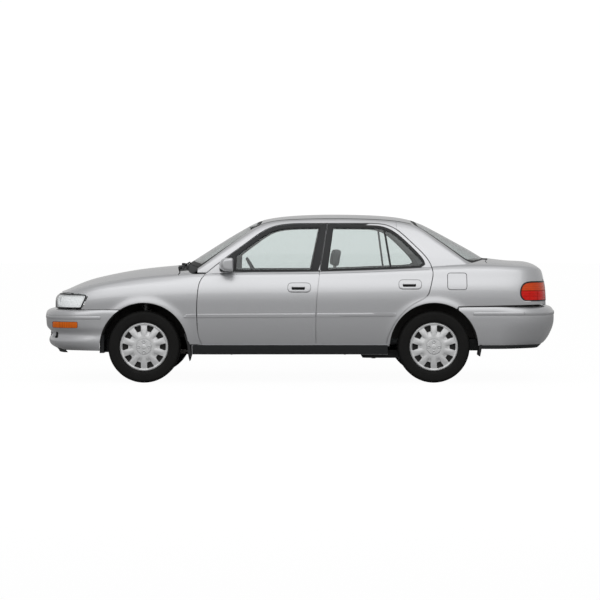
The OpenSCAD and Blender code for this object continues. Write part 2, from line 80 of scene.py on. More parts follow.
class SedanSizes(bpy.types.PropertyGroup):
    gap: bpy.props.FloatProperty(
        name="Panel gap", description="Width of the gap round doors and lids",
        default=0.007, min=0.004, max=0.010, unit="LENGTH")
    arch: bpy.props.FloatProperty(
        name="Arch radius", description="Radius of the wheel arch openings",
        default=0.391, min=0.375, max=0.410, unit="LENGTH")
    cover: bpy.props.FloatProperty(
        name="Wheel cover radius", description="Outer radius of a wheel cover",
        default=0.222, min=0.219, max=0.224, unit="LENGTH")
    windows: bpy.props.IntProperty(
        name="Cover windows", description="Number of openings round a wheel cover",
        default=10, min=6, max=12)
    tread: bpy.props.IntProperty(
        name="Tread blocks", description="Number of tread blocks round a tyre",
        default=72, min=40, max=96)


class SedanColours(bpy.types.PropertyGroup):
    paint: bpy.props.FloatVectorProperty(
        name="Paint", description="Colour of the painted panels", subtype="COLOR",
        size=4, min=0, max=1, default=(0.565, 0.570, 0.585, 1))
    trim: bpy.props.FloatVectorProperty(
        name="Trim", description="Colour of black mouldings and seals", subtype="COLOR",
        size=4, min=0, max=1, default=(0.016, 0.017, 0.018, 1))
    cabin: bpy.props.FloatVectorProperty(
        name="Cabin", description="Colour of cloth and cabin linings", subtype="COLOR",
        size=4, min=0, max=1, default=(0.105, 0.115, 0.118, 1))
    amber: bpy.props.FloatVectorProperty(
        name="Turn signal", description="Colour of the turn signal lenses", subtype="COLOR",
        size=4, min=0, max=1, default=(0.62, 0.115, 0.004, 1))
    red: bpy.props.FloatVectorProperty(
        name="Tail light", description="Colour of the tail light lenses", subtype="COLOR",
        size=4, min=0, max=1, default=(0.62, 0.010, 0.006, 1))


# ---------------------------------------------------------------- curves and outlines


def spread(count, steps):
    """Weights that turn a run of points into a smooth run with steps points for each span."""
    ends = np.zeros((count + 2, count))
    ends[1:-1] = np.eye(count)
    ends[0, :2], ends[-1, -2:] = (2, -1), (-1, 2)
    out = np.zeros((steps * (count - 1) + 1, count + 2))
    for k in range(len(out)):
        i = min(k // steps, count - 2)
        t = k / steps - i
        out[k, i:i + 4] = ((1 - t) ** 3 / 6, (3 * t ** 3 - 6 * t * t + 4) / 6,
                           (-3 * t ** 3 + 3 * t * t + 3 * t + 1) / 6, t ** 3 / 6)
    return out @ ends


def fitted(points):
    """Moves inner points so that the smooth run passes through the given ones."""
    points = np.array(points, float)
    points[1:-1] -= (points[2:] - 2 * points[1:-1] + points[:-2]) / 6
    return points


def flowing(points, steps=5):
    """A smooth line through points."""
    return [tuple(p) for p in spread(len(points), steps) @ fitted(points)]


def grown(points, by):
    """An outline moved outwards by a distance, with mitred corners."""
    if not by:
        return list(points)
    n = len(points)
    area = sum(points[k][0] * points[(k + 1) % n][1] - points[(k + 1) % n][0] * points[k][1]
               for k in range(n))
    by = by if area > 0 else -by
    out = []
    for k in range(n):
        a, p, b = (Vector(points[(k + d) % n]) for d in (-1, 0, 1))
        u, v = (p - a).normalized(), (b - p).normalized()
        m, w = Vector((u.y, -u.x)), Vector((v.y, -v.x))
        out.append(tuple(p + (m + w) * (by / max(0.25, 1 + m.dot(w)))))
    return out


def rounded(points, radius, steps=5):
    """An outline with each corner turned into an arc."""
    n, out = len(points), []
    for k in range(n):
        a, p, b = (Vector(points[(k + d) % n]) for d in (-1, 0, 1))
        u, v = (a - p), (b - p)
        turn = u.angle(v)
        reach = min(radius / math.tan(turn / 2), 0.48 * u.length, 0.48 * v.length)
        u.normalize(), v.normalize()
        for s in range(steps + 1):
            t = s / steps
            out.append(tuple(p + u * reach * (1 - t) ** 2 + v * reach * t * t))
    return out


def oblong(x0, z0, x1, z1, radius):
    """A rectangle with round corners."""
    return rounded([(x0, z0), (x1, z0), (x1, z1), (x0, z1)], radius)


# ---------------------------------------------------------------- the body's two lofted forms

LOWER = [
    (-2232, 60, 779, 797, 36), (-2219, 330, 780, 801, 36), (-2183, 560, 785, 812, 36),
    (-2112, 704, 800, 842, 33), (-2012, 784, 824, 884, 26), (-1880, 822, 852, 922, 12),
    (-1700, 844, 885, 960, 3), (-1500, 856, 916, 996, 0), (-1300, 862, 938, 1020, 0),
    (-1100, 865, 955, 1038, 0), (-900, 867, 972, 1046, 0), (-700, 869, 983, 1040, 0),
    (-500, 870, 988, 1020, 0), (-250, 870, 990, 1015, 0), (0, 870, 992, 1015, 0),
    (250, 870, 996, 1020, 0), (500, 870, 1003, 1025, 0), (750, 869, 1011, 1035, 0),
    (1000, 868, 1022, 1050, 0), (1200, 866, 1031, 1090, 0), (1400, 863, 1038, 1116, 0),
    (1600, 858, 1040, 1114, -2), (1780, 848, 1038, 1096, -6), (1930, 830, 1031, 1080, -14),
    (2050, 798, 1026, 1076, -26), (2130, 735, 1018, 1065, -36), (2190, 610, 1003, 1040, -40),
    (2224, 380, 986, 1010, -40), (2237, 60, 980, 996, -40)]
UPPER = [
    (-1160, 965, 842), (-1060, 1030, 905), (-960, 1094, 968), (-860, 1158, 1036),
    (-760, 1221, 1109), (-660, 1284, 1181), (-560, 1343, 1252), (-460, 1400, 1323),
    (-395, 1431, 1364), (-335, 1451, 1395), (-265, 1466, 1418), (-170, 1480, 1434),
    (-50, 1491, 1442), (110, 1499, 1447), (300, 1502, 1449), (490, 1500, 1447),
    (670, 1494, 1441), (830, 1482, 1428), (940, 1466, 1408), (1035, 1443, 1379),
    (1125, 1410, 1324), (1215, 1365, 1258), (1310, 1315, 1190), (1410, 1261, 1117),
    (1510, 1207, 1042), (1610, 1150, 967), (1710, 1087, 892), (1810, 1030, 820)]


def lower_half(x, w, s, t, e):
    """Half a section of the body below the windows, from the sill up to the middle line."""
    side = [(x, 0.925 * w, 240), (x, 0.955 * w, 310), (x, 0.984 * w, 440), (x, w, 590),
            (x, 0.999 * w, 715), (x + 0.15 * e, 0.987 * w, 720 + (s - 720) * 0.42),
            (x + 0.5 * e, 0.963 * w, 720 + (s - 720) * 0.74), (x + 0.85 * e, 0.93 * w, s - 4)]
    return side + [(x + e, f * w, t - (t - s) * (f / 0.93) ** 2) for f in (0.86, 0.6, 0.3, 0)]


def side_y(x, z):
    """How far out the cabin's side is."""
    base = 812 - 0.00025 * max(0, -700 - x) ** 2 - 0.00012 * max(0, x - 900) ** 2
    h = max(0, z - 980)
    return base - 0.36 * h - 0.00018 * h * h


def upper_half(x, t, e):
    """Half a section of the cabin, from inside the body up to the middle of the roof."""
    low, ye, bottom = e - 45, side_y(x, e), min(760, e - 110)
    side = [(x, side_y(x, 0) - 6, bottom)]
    for f in (0.3, 0.55, 0.8, 1):
        z = bottom + (low - bottom) * f
        side.append((x, side_y(x, z), z))
    side.append((x, ye, e))
    return side + [(x, f * ye, t - (t - e) * f ** 2.2)
                   for f in ((ye - 45) / ye, 0.75, 0.5, 0.25, 0)]


def skin(halves, row_steps, column_steps):
    """A fine grid of points from half sections, mirrored to both sides."""
    rows = np.array([[(p[0], -p[1], p[2]) for p in half] + list(half[-2::-1]) for half in halves],
                    float)
    rows = np.array([fitted(rows[:, c]) for c in range(rows.shape[1])]).transpose(1, 0, 2)
    rows = np.einsum("ab,bcd->acd", spread(rows.shape[0], row_steps), rows)
    return np.einsum("ab,cbd->cad", spread(rows.shape[1], column_steps), rows)


def ease(t):
    """0 before 0, 1 after 1, and smooth between."""
    t = np.clip(t, 0, 1)
    return t * t * (3 - 2 * t)


def hump(value, centre, width):
    """1 at the centre, and falling away smoothly on both sides."""
    return math.exp(-((value - centre) / width) ** 2)


def shaped_side(grid):
    """Adds the shoulder line along the side and the lips round the wheel arches."""
    x, y, z = (grid[..., k].copy() for k in range(3))
    out = np.sign(y) * (np.abs(y) > 600)
    crest = 838 + 0.006 * (x + 500)
    rise = np.where(z < crest, ease((z - 610) / (crest - 610)), ease((crest + 95 - z) / 95))
    ends = ease((x + 2150) / 500) * ease((2160 - x) / 350)
    push = 8.5 * rise * ends
    for wheel_x in (FRONT_X, REAR_X):
        r = np.hypot(x - wheel_x, z - WHEEL_Z)
        lip = ease((474 - r) / 84) ** 2 * (z > 200)
        push = np.maximum(push, 0) + 8.5 * lip
    grid[..., 1] = y + out * push
    return grid


LOWER_GRID = shaped_side(skin([lower_half(*r) for r in LOWER], 8, 8))
UPPER_GRID = skin([upper_half(*r) for r in UPPER], 6, 6)

# Side view outlines, front to rear.
FRONT_GAP = flowing([(-868, 346), (-899, 425), (-908, 560), (-911, 665), (-907, 735),
                     (-902, 803), (-894, 856), (-881, 900), (-856, 936), (-826, 972)])
ROOF_LINE = flowing([(-752, 1032), (-640, 1119), (-533, 1195), (-445, 1260), (-356, 1325),
                     (-268, 1372), (-178, 1396), (-89, 1407), (0, 1411)])
B_GAP = flowing([(245, 1412), (227, 1307), (199, 1129), (176, 996), (167, 909), (154, 821),
                 (145, 689), (140, 601)]) + [(140, 346)]
REAR_GAP = [(600, 1412)] + flowing(
    [(700, 1409), (780, 1394), (848, 1364), (910, 1316), (978, 1253), (1065, 1168), (1110, 1118),
     (1148, 1064), (1167, 1010), (1174, 961), (1164, 905), (1144, 821), (1127, 778), (1091, 745),
     (1035, 716), (968, 676), (922, 636), (880, 590), (836, 532), (795, 455), (769, 385),
     (762, 346)])
FRONT_OUTLINE = FRONT_GAP + ROOF_LINE + B_GAP
REAR_OUTLINE = B_GAP[::-1] + REAR_GAP
FRONT_PANE = [(-574, 992)] + flowing(
    [(-566, 1130), (-512, 1172), (-427, 1234), (-339, 1298), (-257, 1343), (-172, 1367),
     (-87, 1377), (0, 1381)]) + [(184, 1383), (103, 993)]
REAR_PANE = [(236, 995), (291, 1383)] + flowing(
    [(590, 1381), (680, 1378), (756, 1363), (820, 1333), (890, 1280), (952, 1222), (1034, 1140),
     (1080, 1084), (1092, 1052)]) + [(1060, 1030), (972, 1023), (530, 1005)]
DIVIDER = [(738, 1385), (756, 1385), (813, 1005), (795, 1005)]


# ---------------------------------------------------------------- closed forms, cut and joined


def fresh(name, mesh):
    """A new object for a mesh, and nothing else selected."""
    bpy.ops.object.select_all(action="DESELECT")
    thing = bpy.data.objects.new(name, mesh)
    bpy.context.scene.collection.objects.link(thing)
    bpy.context.view_layer.objects.active = thing
    thing.select_set(True)
    return thing


def applied(thing, kind, **settings):
    """Adds one modifier to an object and applies it."""
    modifier = thing.modifiers.new("step", kind)
    for key, value in settings.items():
        setattr(modifier, key, value)
    with bpy.context.temp_override(object=thing, active_object=thing, selected_objects=[thing]):
        bpy.ops.object.modifier_apply(modifier="step")


class Form:
    """A closed solid in millimetres, cut (-), joined (|) and met (&) with others."""

    def __init__(self, mesh):
        self.mesh = mesh

    @classmethod
    def made(cls, points, faces):
        mesh = bpy.data.meshes.new("form")
        mesh.from_pydata([tuple(p) for p in points], [], faces)
        work = bmesh.new()
        work.from_mesh(mesh)
        bmesh.ops.recalc_face_normals(work, faces=work.faces)
        work.to_mesh(mesh)
        work.free()
        return cls(mesh)

    def combined(self, other, how):
        """This form cut by, joined to or met with another."""
        one, two = fresh("one", self.mesh.copy()), fresh("two", other.mesh)
        applied(one, "BOOLEAN", operation=how, solver="MANIFOLD", object=two)
        mesh = one.data
        bpy.data.objects.remove(one)
        bpy.data.objects.remove(two)
        if how != "DIFFERENCE" and not len(mesh.polygons):
            raise RuntimeError("a form came out empty")
        return Form(mesh)

    def __sub__(self, other):
        return self.combined(other, "DIFFERENCE")

    def __or__(self, other):
        return self.combined(other, "UNION")

    def __and__(self, other):
        return self.combined(other, "INTERSECT")

    def moved(self, x=0, y=0, z=0):
        return self.placed(Matrix.Translation((x, y, z)))

    def placed(self, matrix):
        mesh = self.mesh.copy()
        mesh.transform(matrix)
        return Form(mesh)

    def flipped(self):
        """The same form on the other side of the car."""
        mesh = self.mesh.copy()
        mesh.transform(Matrix.Scale(-1, 4, (0, 1, 0)))
        mesh.flip_normals()
        return Form(mesh)


def loft(grid, half=False):
    """A solid whose rows of points are rings. With half, the left half of each row is used."""
    rows, cols = grid.shape[:2]
    if half:
        cols = cols // 2 + 1
        grid = grid[:, :cols]
        foot = grid[:, -1:].copy()
        foot[..., 2] = grid[:, :1, 2]
        grid = np.concatenate([grid, foot], axis=1)
        cols += 1
    points = grid.reshape(-1, 3)
    faces = [(r * cols + c, r * cols + (c + 1) % cols, (r + 1) * cols + (c + 1) % cols,
              (r + 1) * cols + c) for r in range(rows - 1) for c in range(cols)]
    last = (rows - 1) * cols
    faces += [tuple(range(cols)), tuple(range(last + cols - 1, last - 1, -1))]
    return Form.made(points, faces)


def between(grid, x0, x1):
    """The rows of a grid that reach from x0 to x1."""
    keep = [r for r in range(len(grid)) if grid[r, :, 0].max() > x0 - 60
            and grid[r, :, 0].min() < x1 + 60]
    return grid[keep[0]:keep[-1] + 1]


def lower(x0=-2300, x1=2300, half=True):
    """The solid below the windows, its left half or all of it, from x0 to x1."""
    return loft(between(LOWER_GRID, x0, x1), half)


def upper(x0=-1200, x1=1900, half=True):
    """The solid of the cabin, its left half or all of it, from x0 to x1."""
    return loft(between(UPPER_GRID, x0, x1), half)


def layer(form, a, b, axis="y"):
    """What lies between two depths below a form's skin, along one axis."""
    return form.moved(**{axis: a}) - form.moved(**{axis: b})


def prism(outline, a, b, across="y"):
    """An outline run from depth a to depth b along one axis."""
    n = len(outline)
    order = {"x": (2, 0, 1), "y": (0, 2, 1), "z": (0, 1, 2)}[across]
    points = [(*p, depth) for depth in (a, b) for p in outline]
    points = [[p[k] for k in order] for p in points]
    faces = [tuple(range(n)), tuple(range(2 * n - 1, n - 1, -1))]
    faces += [(k, (k + 1) % n, (k + 1) % n + n, k + n) for k in range(n)]
    return Form.made(points, faces)


def side(outline, grow=0, y1=-330):
    """A side outline, grown by a distance, run from outside the car's left side in to y1."""
    return prism(grown(outline, grow), FAR_LEFT, y1)


def plan(half, grow=0, z0=0, z1=2000):
    """One half of a plan outline with its mirror image, run upwards."""
    full = list(half) + [(x, -y) for x, y in half[::-1] if abs(y) > 0.5]
    return prism(grown(full, grow), z0, z1, "z")


def block(a, b):
    """A box between two corners."""
    return prism([(a[0], a[1]), (b[0], a[1]), (b[0], b[1]), (a[0], b[1])], a[2], b[2], "z")


def oval(x, z, wide, high, around):
    """The outline of a circle or an ellipse."""
    return [(x + wide * math.cos(math.tau * k / around), z + high * math.sin(math.tau * k / around))
            for k in range(around)]


def drum(x, z, r, y0=FAR_LEFT, y1=-400, around=160):
    """A straight cylinder across the car."""
    return prism(oval(x, z, r, r, around), y0, y1)


def joined(forms):
    """One form from several."""
    return reduce(lambda a, b: a | b, forms)


def posed(place, degrees, axis):
    """A place, with a turn about one axis."""
    return Matrix.Translation(place) @ Matrix.Rotation(math.radians(degrees), 4, axis)


def turned(profile, around=96):
    """A form spun round the y axis from points (radius, y), a ring that closes on itself."""
    n = len(profile)
    points = [(r * math.cos(math.tau * k / around), y, r * math.sin(math.tau * k / around))
              for k in range(around) for r, y in profile]
    faces = [(k * n + c, k * n + (c + 1) % n, ((k + 1) % around) * n + (c + 1) % n,
              ((k + 1) % around) * n + c) for k in range(around) for c in range(n)]
    return Form.made(points, faces)


# ---------------------------------------------------------------- finished pieces

SKINS = {}
FINISHES = {}

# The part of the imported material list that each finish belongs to; all others are black trim.
SLOTS = {
    "body paint": "body_paint", "bumper paint": "bumper_paint", "tyre rubber": "tyre_rubber",
    "wheel silver": "wheel_silver", "steel rim": "wheel_silver", "window glass": "window_glass",
    "dark glass edge": "window_glass", "clear lens": "clear_lens", "reflector": "clear_lens",
    "lamp housing with painted glow": "clear_lens", "mirror glass": "clear_lens", "amber lens": "red_lens",
    "red lens": "red_lens", "orange lens": "red_lens", "seat cloth": "seat_cloth",
    "carpet": "seat_cloth", "underside": "underside", "cast metal": "cast_metal",
    "worn steel": "cast_metal", "tank plastic": "tank_plastic", "roof lining": None,
    "plate blank": None}


def skin_tree(kind):
    """A search tree over a lofted skin, with its smooth normals, to shade cut panels by."""
    if kind not in SKINS:
        grid = {"lower": LOWER_GRID, "upper": UPPER_GRID}[kind]
        mesh = loft(grid).mesh
        points = [v.co.copy() for v in mesh.vertices]
        polygons = [tuple(p.vertices) for p in mesh.polygons if len(p.vertices) == 4]
        SKINS[kind] = (BVHTree.FromPolygons(points, polygons), points, polygons,
                       [v.normal.copy() for v in mesh.vertices])
    return SKINS[kind]


def skin_normal(point, trees, reach):
    """The smooth normal of the nearest skin within reach of a point, or None."""
    best = None
    for tree, points, polygons, normals in trees:
        where, _, index, far = tree.find_nearest(point, reach)
        if where is not None and (best is None or far < best[0]):
            corners = polygons[index]
            share = poly_3d_calc([points[c] for c in corners], where)
            total = sum((normals[c] * s for c, s in zip(corners, share)), Vector())
            best = (far, total.normalized())
    return best and best[1]


def shade_like(mesh, kinds, reach):
    """Gives the outer side of a cut panel the normals of the uncut skin."""
    trees = [skin_tree(k) for k in kinds]
    smooth = [Vector(n.vector) for n in mesh.corner_normals]
    found = {}
    for face in mesh.polygons:
        for loop in face.loop_indices:
            v = mesh.loops[loop].vertex_index
            if v not in found:
                found[v] = skin_normal(mesh.vertices[v].co, trees, reach)
            if found[v] and found[v].dot(face.normal) > 0.9:
                smooth[loop] = found[v]
    mesh.normals_split_custom_set(smooth)


def finish_piece(thing, name, finish, replaces, body, slot):
    """Names a piece, gives it its material and body, and hides the imported parts that it stands
    for.
    """
    thing.name = thing.data.name = name
    thing.data.materials.clear()
    thing.data.materials.append(FINISHES[finish])
    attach(thing, body)
    slot = slot or SLOTS.get(finish, "black_trim")
    if replaces:
        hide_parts(*replaces)
    return thing


def piece(form, name, finish, replaces=(), body="body", slot=None, like=(), reach=3.0, sharp=32,
          bevel=0):
    """Turns a form into a finished piece of the car, in metres."""
    thing = fresh(name, form.mesh.copy())
    work = bmesh.new()
    work.from_mesh(thing.data)
    bmesh.ops.remove_doubles(work, verts=work.verts, dist=0.02)
    bmesh.ops.dissolve_degenerate(work, edges=work.edges, dist=0.02)
    work.to_mesh(thing.data)
    work.free()
    if bevel:
        applied(thing, "BEVEL", width=bevel, segments=2, limit_method="ANGLE",
                angle_limit=math.radians(40))
    if not like:
        thing.data.transform(Matrix.Scale(MM, 4))
    bpy.ops.object.shade_smooth_by_angle(angle=math.radians(sharp))
    if like:
        shade_like(thing.data, like, reach)
        normals = [Vector(n.vector) for n in thing.data.corner_normals]
        thing.data.transform(Matrix.Scale(MM, 4))
        thing.data.normals_split_custom_set(normals)
    return finish_piece(thing, name, finish, replaces, body, slot)


def sided(name, right):
    """A name with its side filled in."""
    return name.format(side="right" if right else "left")


def pair(form, name, finish, replaces=(), body="body", **rest):
    """A piece for the left side and its mirror image for the right side."""
    for right in (False, True):
        piece(form.flipped() if right else form, sided(name, right), finish,
              [sided(n, right) for n in replaces], sided(body, right), **rest)


# ---------------------------------------------------------------- modelling by hand


def edit_faces(thing, pick):
    """Goes into edit mode with only the faces that pick accepts selected."""
    bpy.context.view_layer.objects.active = thing
    bpy.ops.object.mode_set(mode="EDIT")
    bpy.ops.mesh.select_mode(type="FACE")
    work = bmesh.from_edit_mesh(thing.data)
    for group in (work.faces, work.edges, work.verts):
        for part in group:
            part.select = False
    for face in work.faces:
        if pick(face):
            face.select = True
    work.select_flush_mode()
    bmesh.update_edit_mesh(thing.data)


def edit_done():
    bpy.ops.object.mode_set(mode="OBJECT")


def box(centre, size, turn=(0, 0, 0)):
    """A cube of a size in millimetres, ready to be shaped in edit mode."""
    bpy.ops.object.select_all(action="DESELECT")
    bpy.ops.mesh.primitive_cube_add(size=1, location=[c * MM for c in centre], rotation=turn)
    thing = bpy.context.active_object
    thing.scale = [s * MM for s in size]
    return settled(thing)


def rod(centre, radius, depth, turn=(0, 0, 0), around=32):
    """A cylinder of a size in millimetres, upright unless it is turned."""
    bpy.ops.object.select_all(action="DESELECT")
    bpy.ops.mesh.primitive_cylinder_add(vertices=around, radius=radius * MM, depth=depth * MM,
                                        location=[c * MM for c in centre], rotation=turn)
    return settled(bpy.context.active_object)


def settled(thing):
    """Puts an object's place, turn and size into its mesh."""
    thing.data.transform(thing.matrix_basis)
    thing.matrix_basis = Matrix.Identity(4)
    return thing


def edges_rounded(thing, width, segments=3):
    """Rounds the edges of an object by a width in millimetres."""
    applied(thing, "BEVEL", width=width * MM, segments=segments, limit_method="ANGLE",
            angle_limit=math.radians(35))
    return thing


def merged(things):
    """One object from several."""
    bpy.ops.object.select_all(action="DESELECT")
    for thing in things:
        thing.select_set(True)
    bpy.context.view_layer.objects.active = things[0]
    bpy.ops.object.join()
    return things[0]


def done(thing, name, finish, replaces=(), body="body", slot=None, edge=0, segments=3):
    """Makes a hand modelled object, or several, a piece with its edges rounded."""
    if isinstance(thing, list):
        thing = merged(thing)
    if edge:
        edges_rounded(thing, edge, segments)
    bpy.ops.object.select_all(action="DESELECT")
    thing.select_set(True)
    bpy.context.view_layer.objects.active = thing
    bpy.ops.object.mode_set(mode="EDIT")
    bpy.ops.mesh.select_all(action="SELECT")
    bpy.ops.mesh.normals_make_consistent(inside=False)
    bpy.ops.object.mode_set(mode="OBJECT")
    bpy.ops.object.shade_smooth_by_angle(angle=math.radians(35))
    return finish_piece(thing, name, finish, replaces, body, slot)


def both(thing, name, finish, replaces=(), body="body", edge=0, segments=3):
    """Makes a hand modelled object the left piece, and its mirror image the right piece."""
    left = done(thing, sided(name, False), finish, [sided(n, False) for n in replaces],
                sided(body, False), edge=edge, segments=segments)
    twin = fresh(sided(name, True), left.data.copy())
    twin.data.transform(Matrix.Scale(-1, 4, (0, 1, 0)))
    twin.data.flip_normals()
    done(twin, sided(name, True), finish, [sided(n, True) for n in replaces], sided(body, True))


def tube(points, radius, around=12):
    """A round bar along a smooth run of points, in millimetres, with closed ends."""
    line = [Vector(p) for p in (flowing(points, 4) if len(points) > 2 else points)]
    rings, faces = [], []
    up = Vector((0, 0, 1))
    for k, p in enumerate(line):
        along = (line[min(k + 1, len(line) - 1)] - line[max(k - 1, 0)]).normalized()
        u = along.cross(up if abs(along.z) < 0.9 else Vector((1, 0, 0))).normalized()
        v = along.cross(u)
        rings += [p + (u * math.cos(math.tau * s / around) + v * math.sin(math.tau * s / around))
                  * radius for s in range(around)]
    for k in range(len(line) - 1):
        for s in range(around):
            t = (s + 1) % around
            faces.append((k * around + s, k * around + t, (k + 1) * around + t,
                          (k + 1) * around + s))
    last = (len(line) - 1) * around
    faces += [tuple(range(around)), tuple(range(last + around - 1, last - 1, -1))]
    return Form.made(rings, faces)


def as_object(form):
    """A form as an object in metres, to be shaped further."""
    thing = fresh("part", form.mesh.copy())
    thing.data.transform(Matrix.Scale(MM, 4))
    return thing


def bar(points, radius, around=12):
    """A tube as an object."""
    return as_object(tube(points, radius, around))


# ---------------------------------------------------------------- finishes


class Wire:
    """A socket in a material, which can be used in sums."""

    def __init__(self, maker, socket):
        self.maker, self.socket = maker, socket

    def _math(self, kind, *values, clamp=False):
        return self.maker.node("ShaderNodeMath", {"operation": kind, "use_clamp": clamp},
                               *values)

    def __add__(self, other):
        return self._math("ADD", self, other)

    def __radd__(self, other):
        return self._math("ADD", other, self)

    def __sub__(self, other):
        return self._math("SUBTRACT", self, other)

    def __rsub__(self, other):
        return self._math("SUBTRACT", other, self)

    def __mul__(self, other):
        return self._math("MULTIPLY", self, other)

    def __pow__(self, other):
        return self._math("POWER", self, other)

    def clamped(self):
        """The value kept between 0 and 1."""
        return self._math("ADD", self, 0.0, clamp=True)

    def wave(self):
        """Runs from 0 to 1 and back as the value grows."""
        return self._math("SINE", self) * 0.5 + 0.5


class Finish:
    """One material, built from nodes."""

    def __init__(self, name):
        self.material = bpy.data.materials.new(name)
        self.material.use_nodes = True
        self.tree = self.material.node_tree
        self.shader = self.tree.nodes["Principled BSDF"]
        self.place = None
        FINISHES[name] = self.material

    def node(self, kind, settings=None, *values, out=0, **named):
        """Adds a node, feeds its inputs by place or by name, and gives one output."""
        made = self.tree.nodes.new(kind)
        for key, value in (settings or {}).items():
            setattr(made, key, value)
        for key, value in enumerate(values):
            self.feed(made.inputs[key], value)
        for key, value in named.items():
            self.feed(made.inputs[key.replace("_", " ")], value)
        return Wire(self, made.outputs[out])

    def feed(self, socket, value):
        """Links a wire to an input, or sets the input to a value."""
        if isinstance(value, Wire):
            self.tree.links.new(value.socket, socket)
        else:
            socket.default_value = value

    def set(self, **named):
        """Feeds inputs of the main shader."""
        for key, value in named.items():
            self.feed(self.shader.inputs[key.replace("_", " ")], value)

    def show(self, first, second, factor):
        """Mixes two shaders and makes that what the material shows."""
        mixed = self.node("ShaderNodeMixShader", None, factor, first, second)
        out = next(n for n in self.tree.nodes if n.type == "OUTPUT_MATERIAL")
        self.tree.links.new(mixed.socket, out.inputs["Surface"])

    def where(self):
        """The place on the piece, in the car's own metres."""
        if self.place is None:
            self.place = self.node("ShaderNodeTexCoord", out=3)
        return self.place

    def axes(self):
        parts = self.node("ShaderNodeSeparateXYZ", None, self.where()).socket.node
        return [Wire(self, s) for s in parts.outputs]

    def noise(self, scale, detail=3.0, rough=0.5):
        return self.node("ShaderNodeTexNoise", None, Vector=self.where(), Scale=scale,
                         Detail=detail, Roughness=rough)

    def cells(self, scale, out=0):
        return self.node("ShaderNodeTexVoronoi", None, Vector=self.where(), Scale=scale, out=out)

    def mix(self, factor, a, b):
        made = self.tree.nodes.new("ShaderNodeMix")
        made.data_type = "RGBA"
        colours = [s for s in made.inputs if s.type == "RGBA"]
        self.feed(made.inputs[0], factor)
        self.feed(colours[0], a)
        self.feed(colours[1], b)
        return Wire(self, [s for s in made.outputs if s.type == "RGBA"][0])

    def bump(self, height, distance, strength=1.0):
        return self.node("ShaderNodeBump", None, Height=height, Distance=distance,
                         Strength=strength)


def shaded(colour, by):
    """A colour made lighter or darker."""
    return tuple(max(0, min(1, c * by)) for c in colour[:3]) + (1,)


def colour_of(value):
    """A colour with its alpha, from three numbers or from one number for a grey."""
    return (value, value, value, 1) if isinstance(value, float) else tuple(value[:3]) + (1,)


def plain(name, mixed, first, second, rough, bump=None, **more):
    """A material with two colours mixed by noise, noise in its gloss, and noise bumps."""
    f = Finish(name)
    scale, detail, share = mixed
    if not isinstance(rough, float):
        base, *noise, amount = rough
        rough = f.noise(*noise) * amount + base
    if bump:
        more["Normal"] = f.bump(f.noise(*bump[:2]), *bump[2:])
    f.set(Base_Color=f.mix(f.noise(scale, detail) * share, colour_of(first), colour_of(second)),
          Roughness=rough, **more)
    return f


def paints(paint):
    """The clear-coated metallic paint of the panels and, a little darker, of the bumpers."""
    for name, by in (("body paint", 1.0), ("bumper paint", 0.985)):
        f = Finish(name)
        flake, tone = f.cells(2600, out=1), f.noise(3.0, 4)
        colour = f.mix(flake * 0.10, shaded(paint, 0.96 * by), shaded(paint, 1.12 * by))
        f.set(Base_Color=f.mix(tone * 0.10, colour, shaded(paint, 0.90 * by)), Metallic=0.72,
              Roughness=0.30 + f.noise(900, 2) * 0.08, Coat_Weight=1.0, Coat_Roughness=0.04,
              Normal=f.bump(f.cells(1900), 0.00004, 0.25))


def dark_trims(trim):
    """Black mouldings, seals, plastics, the near-black sheets that paint the shade inside openings,
    and the plate blank.
    """
    plain("black trim", (40, 4, 0.6), trim, shaded(trim, 2.0), (0.50, 350, 3, 0.16),
          (1400, 3, 0.00012, 0.5), Specular_IOR_Level=0.3)
    plain("black gloss", (30, 3, 0.4), (0.012, 0.013, 0.014), (0.022, 0.023, 0.025),
          (0.28, 500, 2, 0.06), Specular_IOR_Level=0.25, Coat_Weight=0.06, Coat_Roughness=0.08)
    plain("rubber seal", (60, 4, 0.5), (0.009, 0.009, 0.010), (0.022, 0.022, 0.023),
          (0.60, 300, 3, 0.15), (900, 3, 0.0001, 0.5))
    plain("dark glass edge", (30, 2, 0.3), (0.006, 0.007, 0.007), (0.012, 0.013, 0.013),
          (0.42, 100, 2, 0.08), Specular_IOR_Level=0.15)
    # Painted shade: near-black sheets behind the handle slots, the grille and the intake stand in
    # for the shade inside these openings.
    plain("painted shade of openings", (20, 4, 1.0), 0.003, 0.010, (0.8, 60, 3, 0.15))
    plain("tank plastic", (10, 5, 1.0), (0.012, 0.012, 0.013), (0.030, 0.029, 0.028),
          (0.55, 60, 3, 0.15), (300, 3, 0.0008, 0.5))
    plain("engine cover", (16, 5, 1.0), (0.020, 0.021, 0.023), (0.05, 0.05, 0.053),
          (0.5, 80, 3, 0.2), (350, 3, 0.0008, 0.5))
    plain("plate blank", (12, 4, 0.4), (0.72, 0.73, 0.72), (0.62, 0.63, 0.62),
          (0.34, 90, 3, 0.1), (200, 2, 0.0003, 0.4))


def wheel_finishes():
    f = plain("tyre rubber", (9, 5, 0.7), 0.0035, (0.011, 0.0105, 0.0095), (0.62, 60, 4, 0.22),
              Specular_IOR_Level=0.22)
    f.set(Normal=f.bump(f.noise(420, 4) + f.noise(90, 3) * 0.6, 0.0005, 0.5))
    f = Finish("wheel silver")
    silver = f.mix(f.cells(1500, out=1) * 0.12, colour_of((0.68, 0.685, 0.69)), colour_of(0.80))
    f.set(Base_Color=silver, Metallic=0.35, Roughness=0.38 + f.noise(120, 4) * 0.12,
          Coat_Weight=0.4, Coat_Roughness=0.12)
    plain("steel rim", (20, 5, 1.0), 0.025, (0.07, 0.068, 0.065), (0.5, 90, 4, 0.2), Metallic=0.5)


